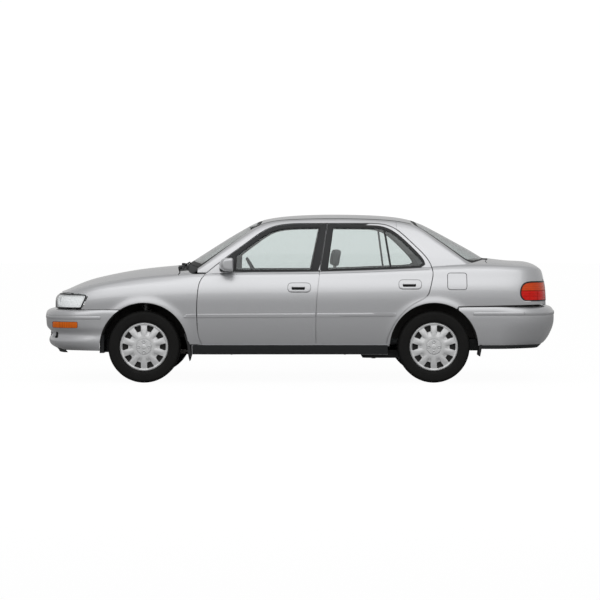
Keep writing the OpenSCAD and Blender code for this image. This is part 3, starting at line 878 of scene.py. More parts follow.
def metals():
    plain("cast metal", (12, 6, 1.0), 0.16, (0.34, 0.335, 0.32), (0.45, 70, 4, 0.25),
          (160, 4, 0.001, 0.6), Metallic=0.8)
    f = Finish("worn steel")
    rust = ((f.noise(7, 6, 0.65) - 0.42) * 2.4).clamped()
    f.set(Base_Color=f.mix(rust, (0.30, 0.29, 0.275, 1), (0.13, 0.065, 0.035, 1)),
          Metallic=0.75 - rust * 0.5, Roughness=0.42 + rust * 0.35,
          Normal=f.bump(f.noise(120, 4), 0.0008, 0.5))
    f = Finish("underside")
    f.set(Base_Color=f.mix(f.noise(5, 6, 0.62), colour_of(0.008), (0.040, 0.036, 0.032, 1)),
          Roughness=0.72 + f.noise(40, 4) * 0.2,
          Normal=f.bump(f.noise(70, 5) + f.cells(260) * 0.4, 0.002, 0.6))
    plain("mirror glass", (20, 2, 0.3), (0.84, 0.86, 0.88), (0.80, 0.82, 0.84),
          (0.03, 50, 2, 0.02), Metallic=1.0)


def cabin_finishes(cabin):
    f = Finish("seat cloth")
    x, y, z = f.axes()
    weave = (x * 2100 + z * 900).wave() * (y * 2100 + z * 900).wave()
    f.set(Base_Color=f.mix((weave * 0.6 + f.noise(14, 5) * 0.5).clamped(), shaded(cabin, 0.7),
                           shaded(cabin, 1.7)),
          Roughness=0.92, Sheen_Weight=0.35, Sheen_Roughness=0.4,
          Normal=f.bump(weave, 0.0007, 0.7))
    f = plain("cabin lining", (25, 4, 0.7), shaded(cabin, 0.8), shaded(cabin, 1.35),
              (0.58, 120, 3, 0.14))
    f.set(Normal=f.bump(f.cells(700) + f.noise(260, 3) * 0.5, 0.0004, 0.6))
    plain("roof lining", (60, 4, 0.7), (0.30, 0.31, 0.31), (0.38, 0.39, 0.385), 0.95,
          (1500, 3, 0.0005, 0.6), Sheen_Weight=0.3)
    plain("carpet", (500, 4, 1.0), shaded(cabin, 0.35), shaded(cabin, 1.0), 0.97,
          (700, 4, 0.003, 0.8))


def glass_over(f, tint, rough, normal=None):
    """Clear sheet: what is behind shows through a tint, under a mirror that grows at a slant."""
    clear = f.node("ShaderNodeBsdfTransparent", None, Color=tint)
    gloss = f.node("ShaderNodeBsdfGlossy", None, Color=(1, 1, 1, 1), Roughness=rough)
    facing = f.node("ShaderNodeLayerWeight", None, out=1, Blend=0.5)
    if normal:
        f.feed(gloss.socket.node.inputs["Normal"], normal)
        f.feed(facing.socket.node.inputs["Normal"], normal)
    f.show(clear, gloss, facing ** 5 * 0.94 + 0.04)
    f.tree.nodes.remove(f.shader)


def glass_and_lamps(amber, red):
    f = Finish("window glass")
    glass_over(f, (0.862, 0.888, 0.883, 1), f.noise(3, 2) * 0.004)
    f = Finish("clear lens")
    glass_over(f, (0.97, 0.975, 0.975, 1), 0.03, f.bump((f.axes()[0] * 520).wave(), 0.0003, 0.4))
    plain("reflector", (30, 2, 0.5), (0.86, 0.87, 0.88), (0.78, 0.79, 0.80), (0.22, 60, 2, 0.05),
          Metallic=0.45)
    # Lamp housing: a fluted white backing. Its emission is a painted glow that brightens the
    # headlight, although the lamp is off.
    f = Finish("lamp housing with painted glow")
    x, y, _ = f.axes()
    flute = (x * 700 + y * 700).wave()
    f.set(Base_Color=f.mix(flute * 0.5, (0.93, 0.94, 0.95, 1), (0.78, 0.79, 0.80, 1)),
          Emission_Color=(0.9, 0.92, 0.93, 1), Emission_Strength=0.28, Metallic=0.0,
          Roughness=0.30 + f.noise(60, 2) * 0.1, Normal=f.bump(flute, 0.0012, 0.6))
    for name, colour, ribs in (("amber lens", amber, 620), ("red lens", red, 420),
                               ("orange lens", (0.60, 0.060, 0.010, 1), 420)):
        f = Finish(name)
        x, y, z = f.axes()
        columns, rows = (x * ribs + y * ribs).wave(), (z * ribs).wave()
        f.set(Base_Color=f.mix((columns * rows * 0.75 + f.noise(18, 2) * 0.35).clamped(),
                               shaded(colour, 0.8), shaded(colour, 1.7)),
              Roughness=0.16 + rows * 0.10, Specular_IOR_Level=0.16, Coat_Weight=0.12,
              Coat_Roughness=0.03, Normal=f.bump(columns + rows, 0.0008, 0.5))


class PaintRoom(bpy.types.Operator):
    """Makes the car's materials."""
    bl_idname = "sedan.finishes"
    bl_label = "Materials"

    def execute(self, context):
        colours = context.scene.sedan_colours
        paints(tuple(colours.paint))
        dark_trims(tuple(colours.trim))
        wheel_finishes()
        metals()
        cabin_finishes(tuple(colours.cabin))
        glass_and_lamps(tuple(colours.amber), tuple(colours.red))
        return {"FINISHED"}


# ---------------------------------------------------------------- body panels

# Plan outlines, for one half of the car.
HOOD = [(-2300, 0)] + flowing([(-2300, 640), (-2120, 655), (-1900, 716), (-1500, 762),
                               (-1075, 786)]) + flowing([(-1068, 700), (-1100, 400), (-1112, 0)])
LID = flowing([(1722, 0), (1712, 250), (1660, 560)]) + flowing(
    [(1664, 668), (1900, 664), (2100, 630), (2300, 610)]) + [(2300, 0)]
WINDSHIELD = flowing([(-1012, 0), (-995, 300), (-950, 560), (-897, 742)]) + flowing(
    [(-850, 735), (-709, 705), (-534, 652), (-400, 604)]) + flowing(
    [(-362, 560), (-352, 400), (-342, 0)])
REAR_WINDOW = flowing([(1006, 0), (1012, 400), (1024, 560)]) + flowing(
    [(1060, 600), (1250, 655), (1420, 702), (1480, 700), (1560, 640), (1650, 420), (1700, 200),
     (1706, 0)])
ROOF = flowing([(-334, 0), (-344, 400), (-352, 540)]) + [(-330, 574), (980, 574)] + flowing(
    [(1012, 540), (1004, 400), (998, 0)])
TAIL = flowing([(2060, 895), (2004, 889), (1962, 862), (1945, 803), (1955, 752), (1990, 722)]) + [
    (2300, 722), (2300, 895)]
LAMP = [(-2300, 657)] + rounded([(-2300, 657), (-1936, 657), (-1878, 780), (-2300, 788)],
                                26)[6:18] + [(-2300, 788)]
FUEL = oblong(1302, 825, 1470, 970, 26)
PILLAR_LINE = [(-905, 975), (-905, 1010)] + flowing(
    [(-790, 1094), (-620, 1222), (-440, 1352), (-360, 1404), (-250, 1470)])
INNER = -762.0


def hood_region(grow):
    """Where the hood is, seen from above, down to the lamps."""
    return plan(HOOD, grow) & block((-2400, -900, 790 - grow), (-900, 900, 1300))


def lid_region(grow):
    """Where the trunk lid is: its top, and its rear face between the tail lights."""
    form = plan(LID, grow) - block((1500, -900, -10), (2400, 900, 722 - grow))
    corner = block((1900, -900, -9), (2400, -484 - grow, 906 - grow))
    return form - corner - corner.flipped()


def rear_window_region(grow):
    return plan(REAR_WINDOW, grow, 1000, 1600)


def roof_region(grow):
    return plan(ROOF, grow, 1300, 1600)


def tail_region(grow):
    """Where the left tail light is."""
    return side(TAIL, grow, -492 + grow)


def door_outline(front, grow):
    """The side outline of a left door, run inwards."""
    return side(FRONT_OUTLINE if front else REAR_OUTLINE, grow)


def half_gap():
    return bpy.context.scene.sedan_sizes.gap / MM / 2


def arch_radius():
    return bpy.context.scene.sedan_sizes.arch / MM


def pillar_shell(x0=-1200, x1=1900):
    """The cabin's left side as a shell as thick as a pillar."""
    form = upper(x0, x1)
    return form - form.moved(0, 55, -55)


class TopPanels(bpy.types.Operator):
    """Builds the hood, trunk lid, roof and cowl."""
    bl_idname = "sedan.top_panels"
    bl_label = "Hood, roof and trunk lid"

    def execute(self, context):
        g = half_gap()
        front = lower(-2300, -880, half=False)
        hood = (front - front.moved(16, 0, -16)) & hood_region(-g)
        piece(hood, "hood_panel", "body paint", ["hood"], body="hood", like=("lower",))
        back = lower(1480, 2300, half=False)
        lid = (back - back.moved(-16, 0, -16)) & lid_region(-g)
        piece(lid, "trunk_lid_panel", "body paint", ["trunk_lid"], body="trunk_lid",
              like=("lower",))
        top = upper(-480, 1120, half=False)
        roof = (top - top.moved(0, 0, -24)) & roof_region(-1)
        piece(roof, "roof_skin", "body paint", ["roof_panel"], like=("upper",))
        lining = layer(top, -26, -34, "z") & roof_region(-14)
        piece(lining, "roof_lining", "roof lining", like=("upper",), reach=40)
        strip = top.moved(0, 0, 2) - top.moved(0, 0, -12)
        edge = [(-352, 566), (-338, 578), (985, 578), (1000, 566)]
        strip = strip & prism(edge, 1300, 1600, "z")
        pair(strip.flipped(), "drip_strip_{side}", "black gloss")
        low = lower(-1250, -860, half=False)
        cowl = (low - low.moved(0, 0, -14)) & plan(
            [(-1104, 0), (-1092, 400), (-1063, 700), (-1063, 755), (-905, 755), (-905, 0)], 0,
            940, 1100)
        screen = upper(-1200, -700, half=False)
        cowl = cowl - screen.moved(-2, 0, 2)
        slots = joined([block((-1050, y, 900), (-1040, y + 34, 1200))
                        for y in (*range(-630, -79, 50), *range(80, 631, 50))])
        corners = block((-1300, -1000, 900), (-800, -646, 1200))
        piece(cowl - slots - corners - corners.flipped(), "cowl_cover", "black trim", ["cowl"],
              sharp=25)
        pair(cowl & corners, "cowl_corner_{side}", "body paint", like=("lower",))
        return {"FINISHED"}


class SidePanels(bpy.types.Operator):
    """Builds the fenders, quarter panels, pillars, sills and fuel door."""
    bl_idname = "sedan.side_panels"
    bl_label = "Fenders, quarters and pillars"

    def execute(self, context):
        g, arch = half_gap(), arch_radius()
        low = lower(-2300, -780)
        outline = [(-1932, 649), (-1932, 658), (-1912, 680), (-1874, 760), (-1888, 786),
                   (-2160, 800), (-2160, 1100), (-870, 1040), (-800, 976), (-850, 800),
                   (-862, 341), (-1040, 341), (-1200, 649)]
        fender = (low - low.moved(14, 14, -14)) & side(outline, 0, -500)
        fender = fender - drum(FRONT_X, WHEEL_Z, arch) - hood_region(g)
        fender = fender - door_outline(True, g) - block((-1090, -764, 800), (-700, 0, 1200))
        fender = fender - (upper(-1200, -700) & block((-1200, -1000, 900), (-700, 0, 1100)))
        pair(fender, "fender_{side}", "body paint", ["front_fender_{side}"], like=("lower",))

        low, high = lower(700, 2300), upper(700, 1900)
        shell = (low - low.moved(-14, 14, -14)) | (
            (high - high.moved(0, 30, -30)) & block((700, -1000, 1000), (1700, 0, 1500)))
        outline = [(860, 1470), (860, 1300), (740, 700), (740, 346), (1182, 330), (1396, 677),
                   (1963, 689), (2300, 694), (2300, 1200), (1500, 1250), (1000, 1470)]
        quarter = shell & side(outline, 0, -440)
        for region in (door_outline(False, g + 1), drum(REAR_X, WHEEL_Z, arch),
                       lid_region(g), rear_window_region(2), roof_region(1), tail_region(3)):
            quarter = quarter - region
        shoulder = block((1180, -1000, 900), (1900, 0, 1060))
        quarter = quarter - (low.moved(-14, 14, -14) & shoulder)
        piece(quarter - side(FUEL, g, -700), "quarter_left", "body paint", ["rear_quarter_left"],
              like=("lower", "upper"))
        piece(quarter.flipped(), "quarter_right", "body paint", ["rear_quarter_right"],
              like=("lower", "upper"))

        low, high = lower(-1000, 1300), upper(-1200, 1300)
        shell = pillar_shell(-1200, 1300)
        skirt = low.moved(0, 19)
        form = skirt & side([(-905, 325), (-905, 985), (1210, 985), (1210, 700), (800, 325)])
        form = form & block((-905, -900, 200), (1210, INNER + 26, 985))
        form = form | (low & block((-956, -900, 250), (774, INNER + 26, 335)))
        form = form | (shell & side(PILLAR_LINE + [(858, 1470), (858, 975)])
                       & block((-1000, -1000, 900), (1300, -582, 1500)))
        form = form | (shell.moved(0, 34, -34)
                       & side([(850, 1470), (850, 975), (1158, 975), (1158, 1060), (1110, 1130),
                               (880, 1352), (860, 1470)])
                       & block((800, -1000, 900), (1300, -582, 1500)))
        form = form - block((-1000, -900, 700), (-856, -780, 975))
        form = form - block((1120, -900, 700), (1300, -790, 1000))
        for is_front in (True, False):
            form = form - door_outline(is_front, -26)
            form = form - (door_outline(is_front, g)
                           - (skirt & block((-1000, -1000, 0), (1300, -300, 952)))
                           - high.moved(0, 31))
        form = form - drum(REAR_X, WHEEL_Z, arch + 2)
        pair(form, "body_side_frame_{side}", "body paint", ["body_side_{side}"],
             like=("lower", "upper"), reach=1.5)
        low = lower(-1000, 900)
        sill = layer(low, -2.5, 8) & side(oblong(-950, 252, 774, 334, 8), 0, -700)
        pair(sill, "sill_cover_{side}", "black trim", sharp=30)
        low = lower(1250, 1550)
        piece(layer(low, 0, 6) & side(FUEL, -g / 2, -700), "fuel_flap", "body paint", ["fuel_door"],
              body="fuel_door", like=("lower",))
        return {"FINISHED"}


class Doors(bpy.types.Operator):
    """Builds the four doors with their frames, seals, strips, glass, handles and linings."""
    bl_idname = "sedan.doors"
    bl_label = "Doors"

    def execute(self, context):
        g, arch = half_gap(), arch_radius()
        low, high = lower(-1000, 1300), upper(-1000, 1300)
        skin_layer, frame_layer = layer(low, 0, 12), layer(high, 0, 9)
        deep_layer = layer(high, 8, 24)
        cover_layer, seal_layer = layer(high, -1.6, 4), layer(high, -2.5, 8)
        strip_layer, glass_layer = layer(low, -8, 3), layer(high, 7.5, 11.5)
        bezel_layer = layer(low, -3.5, 5)
        for front in (True, False):
            which = "front" if front else "rear"
            body = which + "_door_{side}"
            pane = FRONT_PANE if front else REAR_PANE
            belt = block((-1000, -900, 300), (1300, -790, 1040))
            door = skin_layer & door_outline(front, -g) & belt
            door = door | (low.moved(0, 11) & door_outline(front, -46)
                           & block((-1000, -900, 300), (1300, INNER, 1030)))
            above = block((-1000, -900, 960), (1300, -560, 1500))
            door = door | (frame_layer & door_outline(front, -g) & above)
            door = door | (deep_layer & door_outline(front, -g - 9) & above)
            door = door - side(pane)
            if front:
                handle, lock = oblong(-106, 803, 92, 882, 36), (66, 848)
                slot = oblong(-74, 822, 44, 850, 12)
            else:
                door = door - drum(REAR_X, WHEEL_Z, arch + 18)
                handle, lock = oblong(873, 830, 1069, 909, 36), None
                slot = oblong(905, 849, 1022, 877, 12)
            door = door - side(slot, 3, -845)
            pair(door, which + "_door_panel_{side}", "body paint", [body], body=body,
                 like=("lower", "upper"))

            opening = side(pane, -7)
            if front:
                cover = cover_layer & door_outline(True, -g - 0.6) & above
                cover = cover & side([(-648, 1000), (-648, 1125), (-300, 1420), (300, 1420),
                                      (160, 985), (-560, 985)])
                cover = cover - opening
            else:
                ring = side(pane, 15) | side([(150, 990), (230, 1420), (640, 1420), (560, 1385),
                                              (300, 1360), (236, 998)])
                cover = cover_layer & door_outline(False, -g - 0.6) & above & ring
                cover = (cover - opening) | (layer(high, 2, 12) & side(DIVIDER))
            pair(cover, which + "_window_frame_{side}", "black gloss", body=body, like=("upper",),
                 reach=6)
            seal = seal_layer & side(pane, 3) & above
            seal = seal - side(pane, -9)
            pair(seal, which + "_window_seal_{side}", "rubber seal", body=body, sharp=30)
            pair(glass_layer & side(pane, -1), which + "_window_{side}", "window glass",
                 [which + "_glass_{side}"], body=body, like=("upper",), reach=14)

            line = ([(-650, 980), (-650, 992), (178, 996), (173, 984)] if front else
                    [(183, 984), (186, 996), (236, 998), (530, 1008), (972, 1026), (1062, 1033),
                     (1090, 1050), (1098, 1040), (1066, 1021), (972, 1013), (530, 995)])
            belt_seal = layer(high, -6, 8) & side(line, 0, -560) & door_outline(front, -g - 1)
            pair(belt_seal, which + "_belt_seal_{side}", "black gloss", body=body, sharp=30)
            band = ([(-835, 966), (-800, 979), (-640, 979), (172, 983), (170, 967), (-640, 962)]
                    if front else
                    [(182, 967), (184, 983), (530, 994), (960, 1011), (1100, 1016), (1140, 1012),
                     (1140, 1002), (1040, 998), (530, 978)])
            band = layer(low, -3.5, 6) & side(band, 0, -760) & door_outline(front, -g - 1)
            pair(band, which + "_belt_strip_{side}", "bumper paint", body=body, slot="body_paint",
                 sharp=30)

            rub = ([(-905, 577), (-905, 609), (135, 616), (135, 584)] if front else
                   rounded([(145, 584), (145, 616), (846, 621), (846, 590)], 12))
            rub = strip_layer & side(rub, 0, -760) & door_outline(front, -g - 1)
            pair(rub, which + "_rub_strip_{side}", "bumper paint", body=body, bevel=4, sharp=50)
            if front:
                # The black strip behind the front door's rear edge stands for the rubber door seal
                # and also paints the shade in the gap between the doors.
                pillar = layer(high, 3, 12) | layer(low, 3, 12)
                pillar = pillar & side(grown(FRONT_OUTLINE, 2.5), 0, -560)
                rear_edge = side([(120, 985), (120, 1420), (280, 1420), (210, 985)], 0, -560)
                pillar = (pillar - door_outline(True, -g - 0.5)) & rear_edge
                pair(pillar, "pillar_seal_{side}", "rubber seal", body=body)

            ring = side(handle, 4, -780) - side(handle, 1, -780)
            pair(layer(low, -1.2, 3) & ring, which + "_handle_rim_{side}", "black gloss", body=body)
            bezel = (bezel_layer & side(handle, 0, -780)) - side(slot, 0, -700)
            pair(bezel, which + "_handle_bezel_{side}", "bumper paint", body=body,
                 slot="body_paint", bevel=1.6, sharp=50)
            # A near-black sheet behind the handle slot paints the shade inside the handle pocket.
            recess = layer(low, 8, 14) & side(slot, 6, -780)
            pair(recess, which + "_handle_recess_{side}", "painted shade of openings", body=body)
            flap = [(p[0], p[1] + 17) for p in grown(slot, -6)]
            flap = layer(low, -5, 4) & side(flap, 0, -780)
            pair(flap, which + "_handle_{side}", "bumper paint", body=body, slot="body_paint",
                 bevel=1.5, sharp=50)
            if lock:
                barrel = layer(low, -5, 2) & drum(lock[0], lock[1] - 8, 9, -1000, -780, 24)
                pair(barrel, "door_lock_{side}", "wheel silver", body=body, slot="black_trim",
                     sharp=40)

            self.lining(front, body, which)
        low = lower(-1150, -850)
        rub = layer(low, -8, 3) & side(rounded([(-1032, 578), (-915, 577), (-915, 609),
                                                (-1004, 608)], 6), 0, -760)
        pair(rub, "fender_rub_strip_{side}", "bumper paint", bevel=2.4, sharp=50)
        return {"FINISHED"}

    def lining(self, front, body, which):
        """The inner lining of a door, with its armrest and pull."""
        outline = grown(FRONT_OUTLINE if front else REAR_OUTLINE, -52)
        low = [(x, min(z, 968)) for x, z in outline]
        panel = prism(low, INNER - 1, INNER + 9) & block((-1000, -800, 370), (1300, -700, 968))
        if not front:
            panel = panel - drum(REAR_X, WHEEL_Z, arch_radius() + 26)
        pair(panel, which + "_door_lining_{side}", "cabin lining", body=body, slot="seat_cloth",
             bevel=2.5, sharp=50)
        x0, x1 = (-560, 20) if front else (250, 700)
        both(box(((x0 + x1) / 2, INNER + 30, 690), (x1 - x0, 52, 60)), which + "_armrest_{side}",
             "seat cloth", body=body, edge=18, segments=4)
        both(bar([(x0 + 60, INNER + 8, 770), (x0 + 110, INNER + 34, 778),
                  (x0 + 220, INNER + 34, 782), (x0 + 270, INNER + 8, 778)], 9),
             which + "_door_pull_{side}", "black trim", body=body)


# Bumpers: the line that the skin follows in plan, then inset below that line by height.
BUMPER_PATH = [(-1400, 863), (-1690, 864), (-1800, 862), (-1920, 852), (-2030, 830),
               (-2125, 787), (-2200, 715), (-2254, 600), (-2287, 460), (-2309, 300),
               (-2321, 150), (-2325, 0)]
FRONT_PROFILE = [(645, 74), (643, 46), (630, 14), (608, 2), (580, 0), (545, 0), (508, 3),
                 (482, 9), (462, 26), (444, 42), (418, 45), (394, 34), (368, 27), (342, 31),
                 (318, 50), (300, 82), (284, 110)]
REAR_PROFILE = [(672, 84), (669, 50), (652, 18), (624, 4), (590, 0), (544, 0), (508, 5),
                (472, 15), (436, 30), (400, 48), (364, 72), (336, 100), (330, 120)]


def bumper_loft(section, rear=False):
    """A ring of points (height, inset) run round the bumper line."""
    half = np.array(flowing(BUMPER_PATH, 7))
    line = np.concatenate([half * (1, -1), half[-2::-1]])
    rows = []
    for k in range(len(line)):
        along = line[min(k + 1, len(line) - 1)] - line[max(k - 1, 0)]
        along = along / np.hypot(*along)
        inward = np.array((along[1], -along[0]))
        share = 0.18 + 0.82 * float(ease((-1720 - line[k][0]) / 420))
        rows.append([(*(line[k] + inward * inset * (share if inset > 0 else 1)), z)
                     for z, inset in section])
    form = loft(np.array(rows))
    if rear:
        form = form.placed(Matrix.Scale(-1, 4, (1, 0, 0)))
        form.mesh.flip_normals()
    return form


def bumper_form(profile, rear=False, inset=0, wall=26):
    """A bumper skin of one thickness that follows a profile."""
    shape = flowing(profile, 3)
    ring = [(z, d + inset) for z, d in shape] + [(z, d + inset + wall) for z, d in shape[::-1]]
    return bumper_loft(ring, rear)


def bumper_band(z0, z1, a, b, rear=False):
    """What lies between two heights and two depths behind the bumper line."""
    return bumper_loft([(z0, a), (z1, a), (z1, b), (z0, b)], rear)


def two_sided(form):
    """A form with its mirror image."""
    return form | form.flipped()


class Bumpers(bpy.types.Operator):
    """Builds both bumpers with their strips, openings and turn signals, and the rear plate."""
    bl_idname = "sedan.bumpers"
    bl_label = "Bumpers"

    def execute(self, context):
        arch = arch_radius()
        front = bumper_form(FRONT_PROFILE)
        ends = block((-1590, -1000, 0), (-1000, 1000, 900))
        arches = drum(FRONT_X, WHEEL_Z, arch, -1000, 1000)
        front = front - arches - ends
        intake = prism(rounded([(-520, 394), (520, 394), (496, 446), (-496, 446)], 18),
                       -2400, -2150, "x")
        corner = prism(oblong(-2260, 392, -2150, 446, 14), -742, -585)
        signal_cut = side(oblong(-2203, 484, -1961, 541, 15), 0, -455)
        holes = joined([intake, corner, corner.flipped()])
        shallow = bumper_band(470, 556, -5, 12) & two_sided(signal_cut)
        strip_cut = side(oblong(-2500, 558, -1752, 594, 12), 0, 0)
        groove = bumper_band(550, 600, -5, 3) & two_sided(strip_cut)
        piece(front - holes - shallow - groove, "front_bumper_skin", "bumper paint",
              ["front_bumper"], sharp=38)
        strip_in = side(oblong(-2500, 562, -1757, 590, 10), 0, 0)
        strip = bumper_band(562, 590, -3.5, 5) & two_sided(strip_in)
        piece(strip, "front_bumper_strip", "bumper paint", bevel=2, sharp=50)
        lens_in = side(oblong(-2200, 487, -1964, 538, 13), 0, -458)
        lens = bumper_band(487, 538, 1.5, 9) & lens_in
        pair(lens, "turn_signal_{side}", "amber lens", bevel=2, sharp=45)
        rim_in = side(oblong(-2198, 488, -1966, 537, 12), 0, -460)
        rim = bumper_band(483, 542, 3, 13) & signal_cut
        rim = rim - (bumper_band(470, 556, -5, 13) & rim_in)
        pair(rim, "turn_signal_rim_{side}", "black gloss")
        # A near-black sheet behind the intake paints the shade inside it.
        inner = bumper_band(385, 455, 72, 78) & block((-2400, -760, 0), (-1900, 760, 900))
        piece(inner, "front_bumper_backing", "painted shade of openings")
        bars = [bumper_band(z, z + 7, 40, 58) & block((-2400, -540, 0), (-1900, 540, 900))
                for z in (406, 426)]
        piece(joined(bars), "front_intake_bars", "black trim", bevel=1.5)
        lip = bumper_form([(300, 84), (290, 100), (276, 112), (262, 120)], False, -3, 18)
        lip = lip & block((-2400, -660, 0), (-1900, 660, 900))
        piece(lip, "front_air_dam", "black trim")

        rear = bumper_form(REAR_PROFILE, True)
        arches = drum(REAR_X, WHEEL_Z, arch, -1000, 1000)
        strip_cut = side(oblong(1524, 593, 2500, 630, 12), 0, 0)
        groove = bumper_band(585, 640, -5, 3, True) & two_sided(strip_cut)
        piece(rear - arches - groove, "rear_bumper_skin", "bumper paint", ["rear_bumper"], sharp=38)
        strip_in = side(oblong(1529, 597, 2500, 626, 10), 0, 0)
        seam = side([(1979, 500), (1982, 500), (1982, 700), (1979, 700)], 0, 0)
        strip = bumper_band(597, 626, -3.5, 5, True) & two_sided(strip_in)
        piece(strip - seam - seam.flipped(), "rear_bumper_strip", "bumper paint", bevel=2, sharp=50)
        back = lower(1950, 2300, half=False)
        panel = (back - back.moved(-12, 0, 0)) & block((2000, -486, 676), (2400, 486, 717))
        piece(panel, "rear_panel", "body paint", like=("lower",))
        tray = bumper_form([(352, 92), (332, 108), (312, 126), (300, 140)], True, 0, 16)
        piece(tray - arches - block((1000, -1000, 0), (1590, 1000, 560)), "rear_valance",
              "black trim")
        cross = block((-1768, -455, 252), (-1660, 455, 380))
        piece(cross, "front_splash_panel", "black trim", bevel=6)
        liner = block((-1772, -800, 262), (-1736, -560, 420)) - drum(FRONT_X, WHEEL_Z, 358, y1=0)
        pair(liner, "front_liner_{side}", "black trim")
        liner = block((1512, -640, 276), (1598, -300, 380))
        pair(liner, "rear_liner_{side}", "black trim", bevel=5)

        low_end, high_end = (skin_tree("lower")[0].ray_cast(
            Vector((2500, 60, 852 + d)), Vector((-1, 0, 0)))[0].x for d in (-70, 70))
        lean = math.atan2(high_end - low_end, 140)
        x = max(low_end, high_end) + 7 - abs(high_end - low_end) / 2
        done(box((x, 0, 852), (5, 306, 154), (0, lean, 0)), "rear_plate", "plate blank",
             body="trunk_lid", edge=1.5, segments=2)
        done(box((x - 3, 0, 852), (8, 322, 168), (0, lean, 0)), "rear_plate_holder", "black trim",
             body="trunk_lid", edge=3, segments=2)
        return {"FINISHED"}


class Lamps(bpy.types.Operator):
    """Builds the headlights, tail lights and grille."""
    bl_idname = "sedan.lamps"
    bl_label = "Lamps and grille"

    def execute(self, context):
        low = lower(-2300, -1850)
        lamp = side(LAMP, 0, -365)
        inside = side(LAMP, -9, -374)
        lens = low - low.moved(5, 5, 0)
        pair(lens & inside, "headlight_lens_{side}", "clear lens", ["headlights"], like=("lower",))
        rim = (low.moved(-1, -1, 0) - low.moved(26, 16, 0)) & (lamp - inside)
        pair(rim, "headlight_rim_{side}", "black gloss", like=("lower",))
        bowls = ((-452, 719, 46, -2122), (-584, 719, 42, -2092))
        shell = (low.moved(15, 10, 0) - low.moved(21, 16, 0)) & side(LAMP, -3, -368)
        for y, z, r, x in bowls:
            hole = drum(0, z, r, -80, 80)
            shell = shell - hole.placed(posed((x - 60, y, 0), 90, "Z"))
        # The back of the lamp carries the painted glow of the housing finish.
        pair(shell, "headlight_back_{side}", "lamp housing with painted glow", like=("lower",), reach=60)
        wall = (low.moved(8, 8, 0) - low.moved(90, 50, 0)) & (
            side(LAMP, -3, -368) - side(LAMP, -7, -372))
        pair(wall, "headlight_wall_{side}", "lamp housing with painted glow")
        for k, (y, z, r, x) in enumerate(bowls):
            bowl = [(r, 0), (r * 0.86, 26), (r * 0.6, 44), (r * 0.3, 54), (0.5, 57), (0.5, 60),
                    (r * 0.34, 58), (r * 0.66, 48), (r * 0.92, 28), (r + 4, 0)]
            place = posed((x - 34, y, z), -90 + 12 * k, "Z")
            form = turned(bowl, 48).placed(place)
            pair(form, "headlight_bowl_%d_{side}" % k, "reflector")
            bulb = turned([(0.5, 4), (7, 6), (9, 14), (8, 34), (0.5, 44)], 20).placed(place)
            pair(bulb, "headlight_bulb_%d_{side}" % k, "wheel silver", slot="clear_lens")

        whole = lower(-2300, -2000, half=False)
        opening = block((-2300, -359, 661), (-2000, 359, 782))
        frame_form = layer(whole, -3, 24, "x") & (
            opening - block((-2400, -341, 675), (-1900, 341, 768)))
        piece(frame_form, "grille_surround", "body paint", ["grille"], bevel=2)
        # A near-black sheet behind the slats paints the shade inside the grille.
        back = layer(whole, 52, 56, "x") & opening
        piece(back, "grille_back", "painted shade of openings")
        slats = joined([layer(whole, 6, 44, "x") & block((-2400, -343, z), (-1900, 343, z + 8))
                        for z in range(689, 750, 20)])
        post = layer(whole, 2, 40, "x") & block((-2400, -22, 674), (-1900, 22, 769))
        piece(slats | post, "grille_slats", "black gloss", bevel=1.5)
        done(rod((-2231, 0, 722), 26, 9, (0, math.radians(90), 0), 48), "grille_disc",
             "wheel silver", slot="clear_lens", edge=2.5)

        low = lower(1850, 2300)
        lens = low - low.moved(-12, 12, 0)
        region = side(grown(TAIL, -7), 0, -500)
        split = 814
        pair(lens & region & block((1900, -1000, split + 1.5), (2300, 0, 950)),
             "tail_lens_top_{side}", "orange lens", ["tail_lights"], like=("lower",))
        ribs = [block((x, -1000, 700), (x + 3, -700, split - 1.5)) for x in (2030, 2105)]
        red = lens & region & block((1900, -1000, 700), (2300, 0, split - 1.5))
        red = red - ((low.moved(3, -3, 0) - low.moved(-2.5, 2.5, 0)) & (
            joined(ribs) | block((1900, -1000, 764), (2300, 0, 767))))
        pair(red, "tail_lens_{side}", "red lens", like=("lower",))
        rim = (low.moved(2, -2, 0) - low.moved(-22, 18, 0)) & (
            tail_region(0) - side(grown(TAIL, -9), 0, -502))
        pair(rim, "tail_light_rim_{side}", "black gloss", like=("lower",))
        back = (low.moved(-12.5, 12.5, 0) - low.moved(-60, 46, 0)) & tail_region(-1)
        pair(back, "tail_light_housing_{side}", "tank plastic", slot="black_trim")
        return {"FINISHED"}


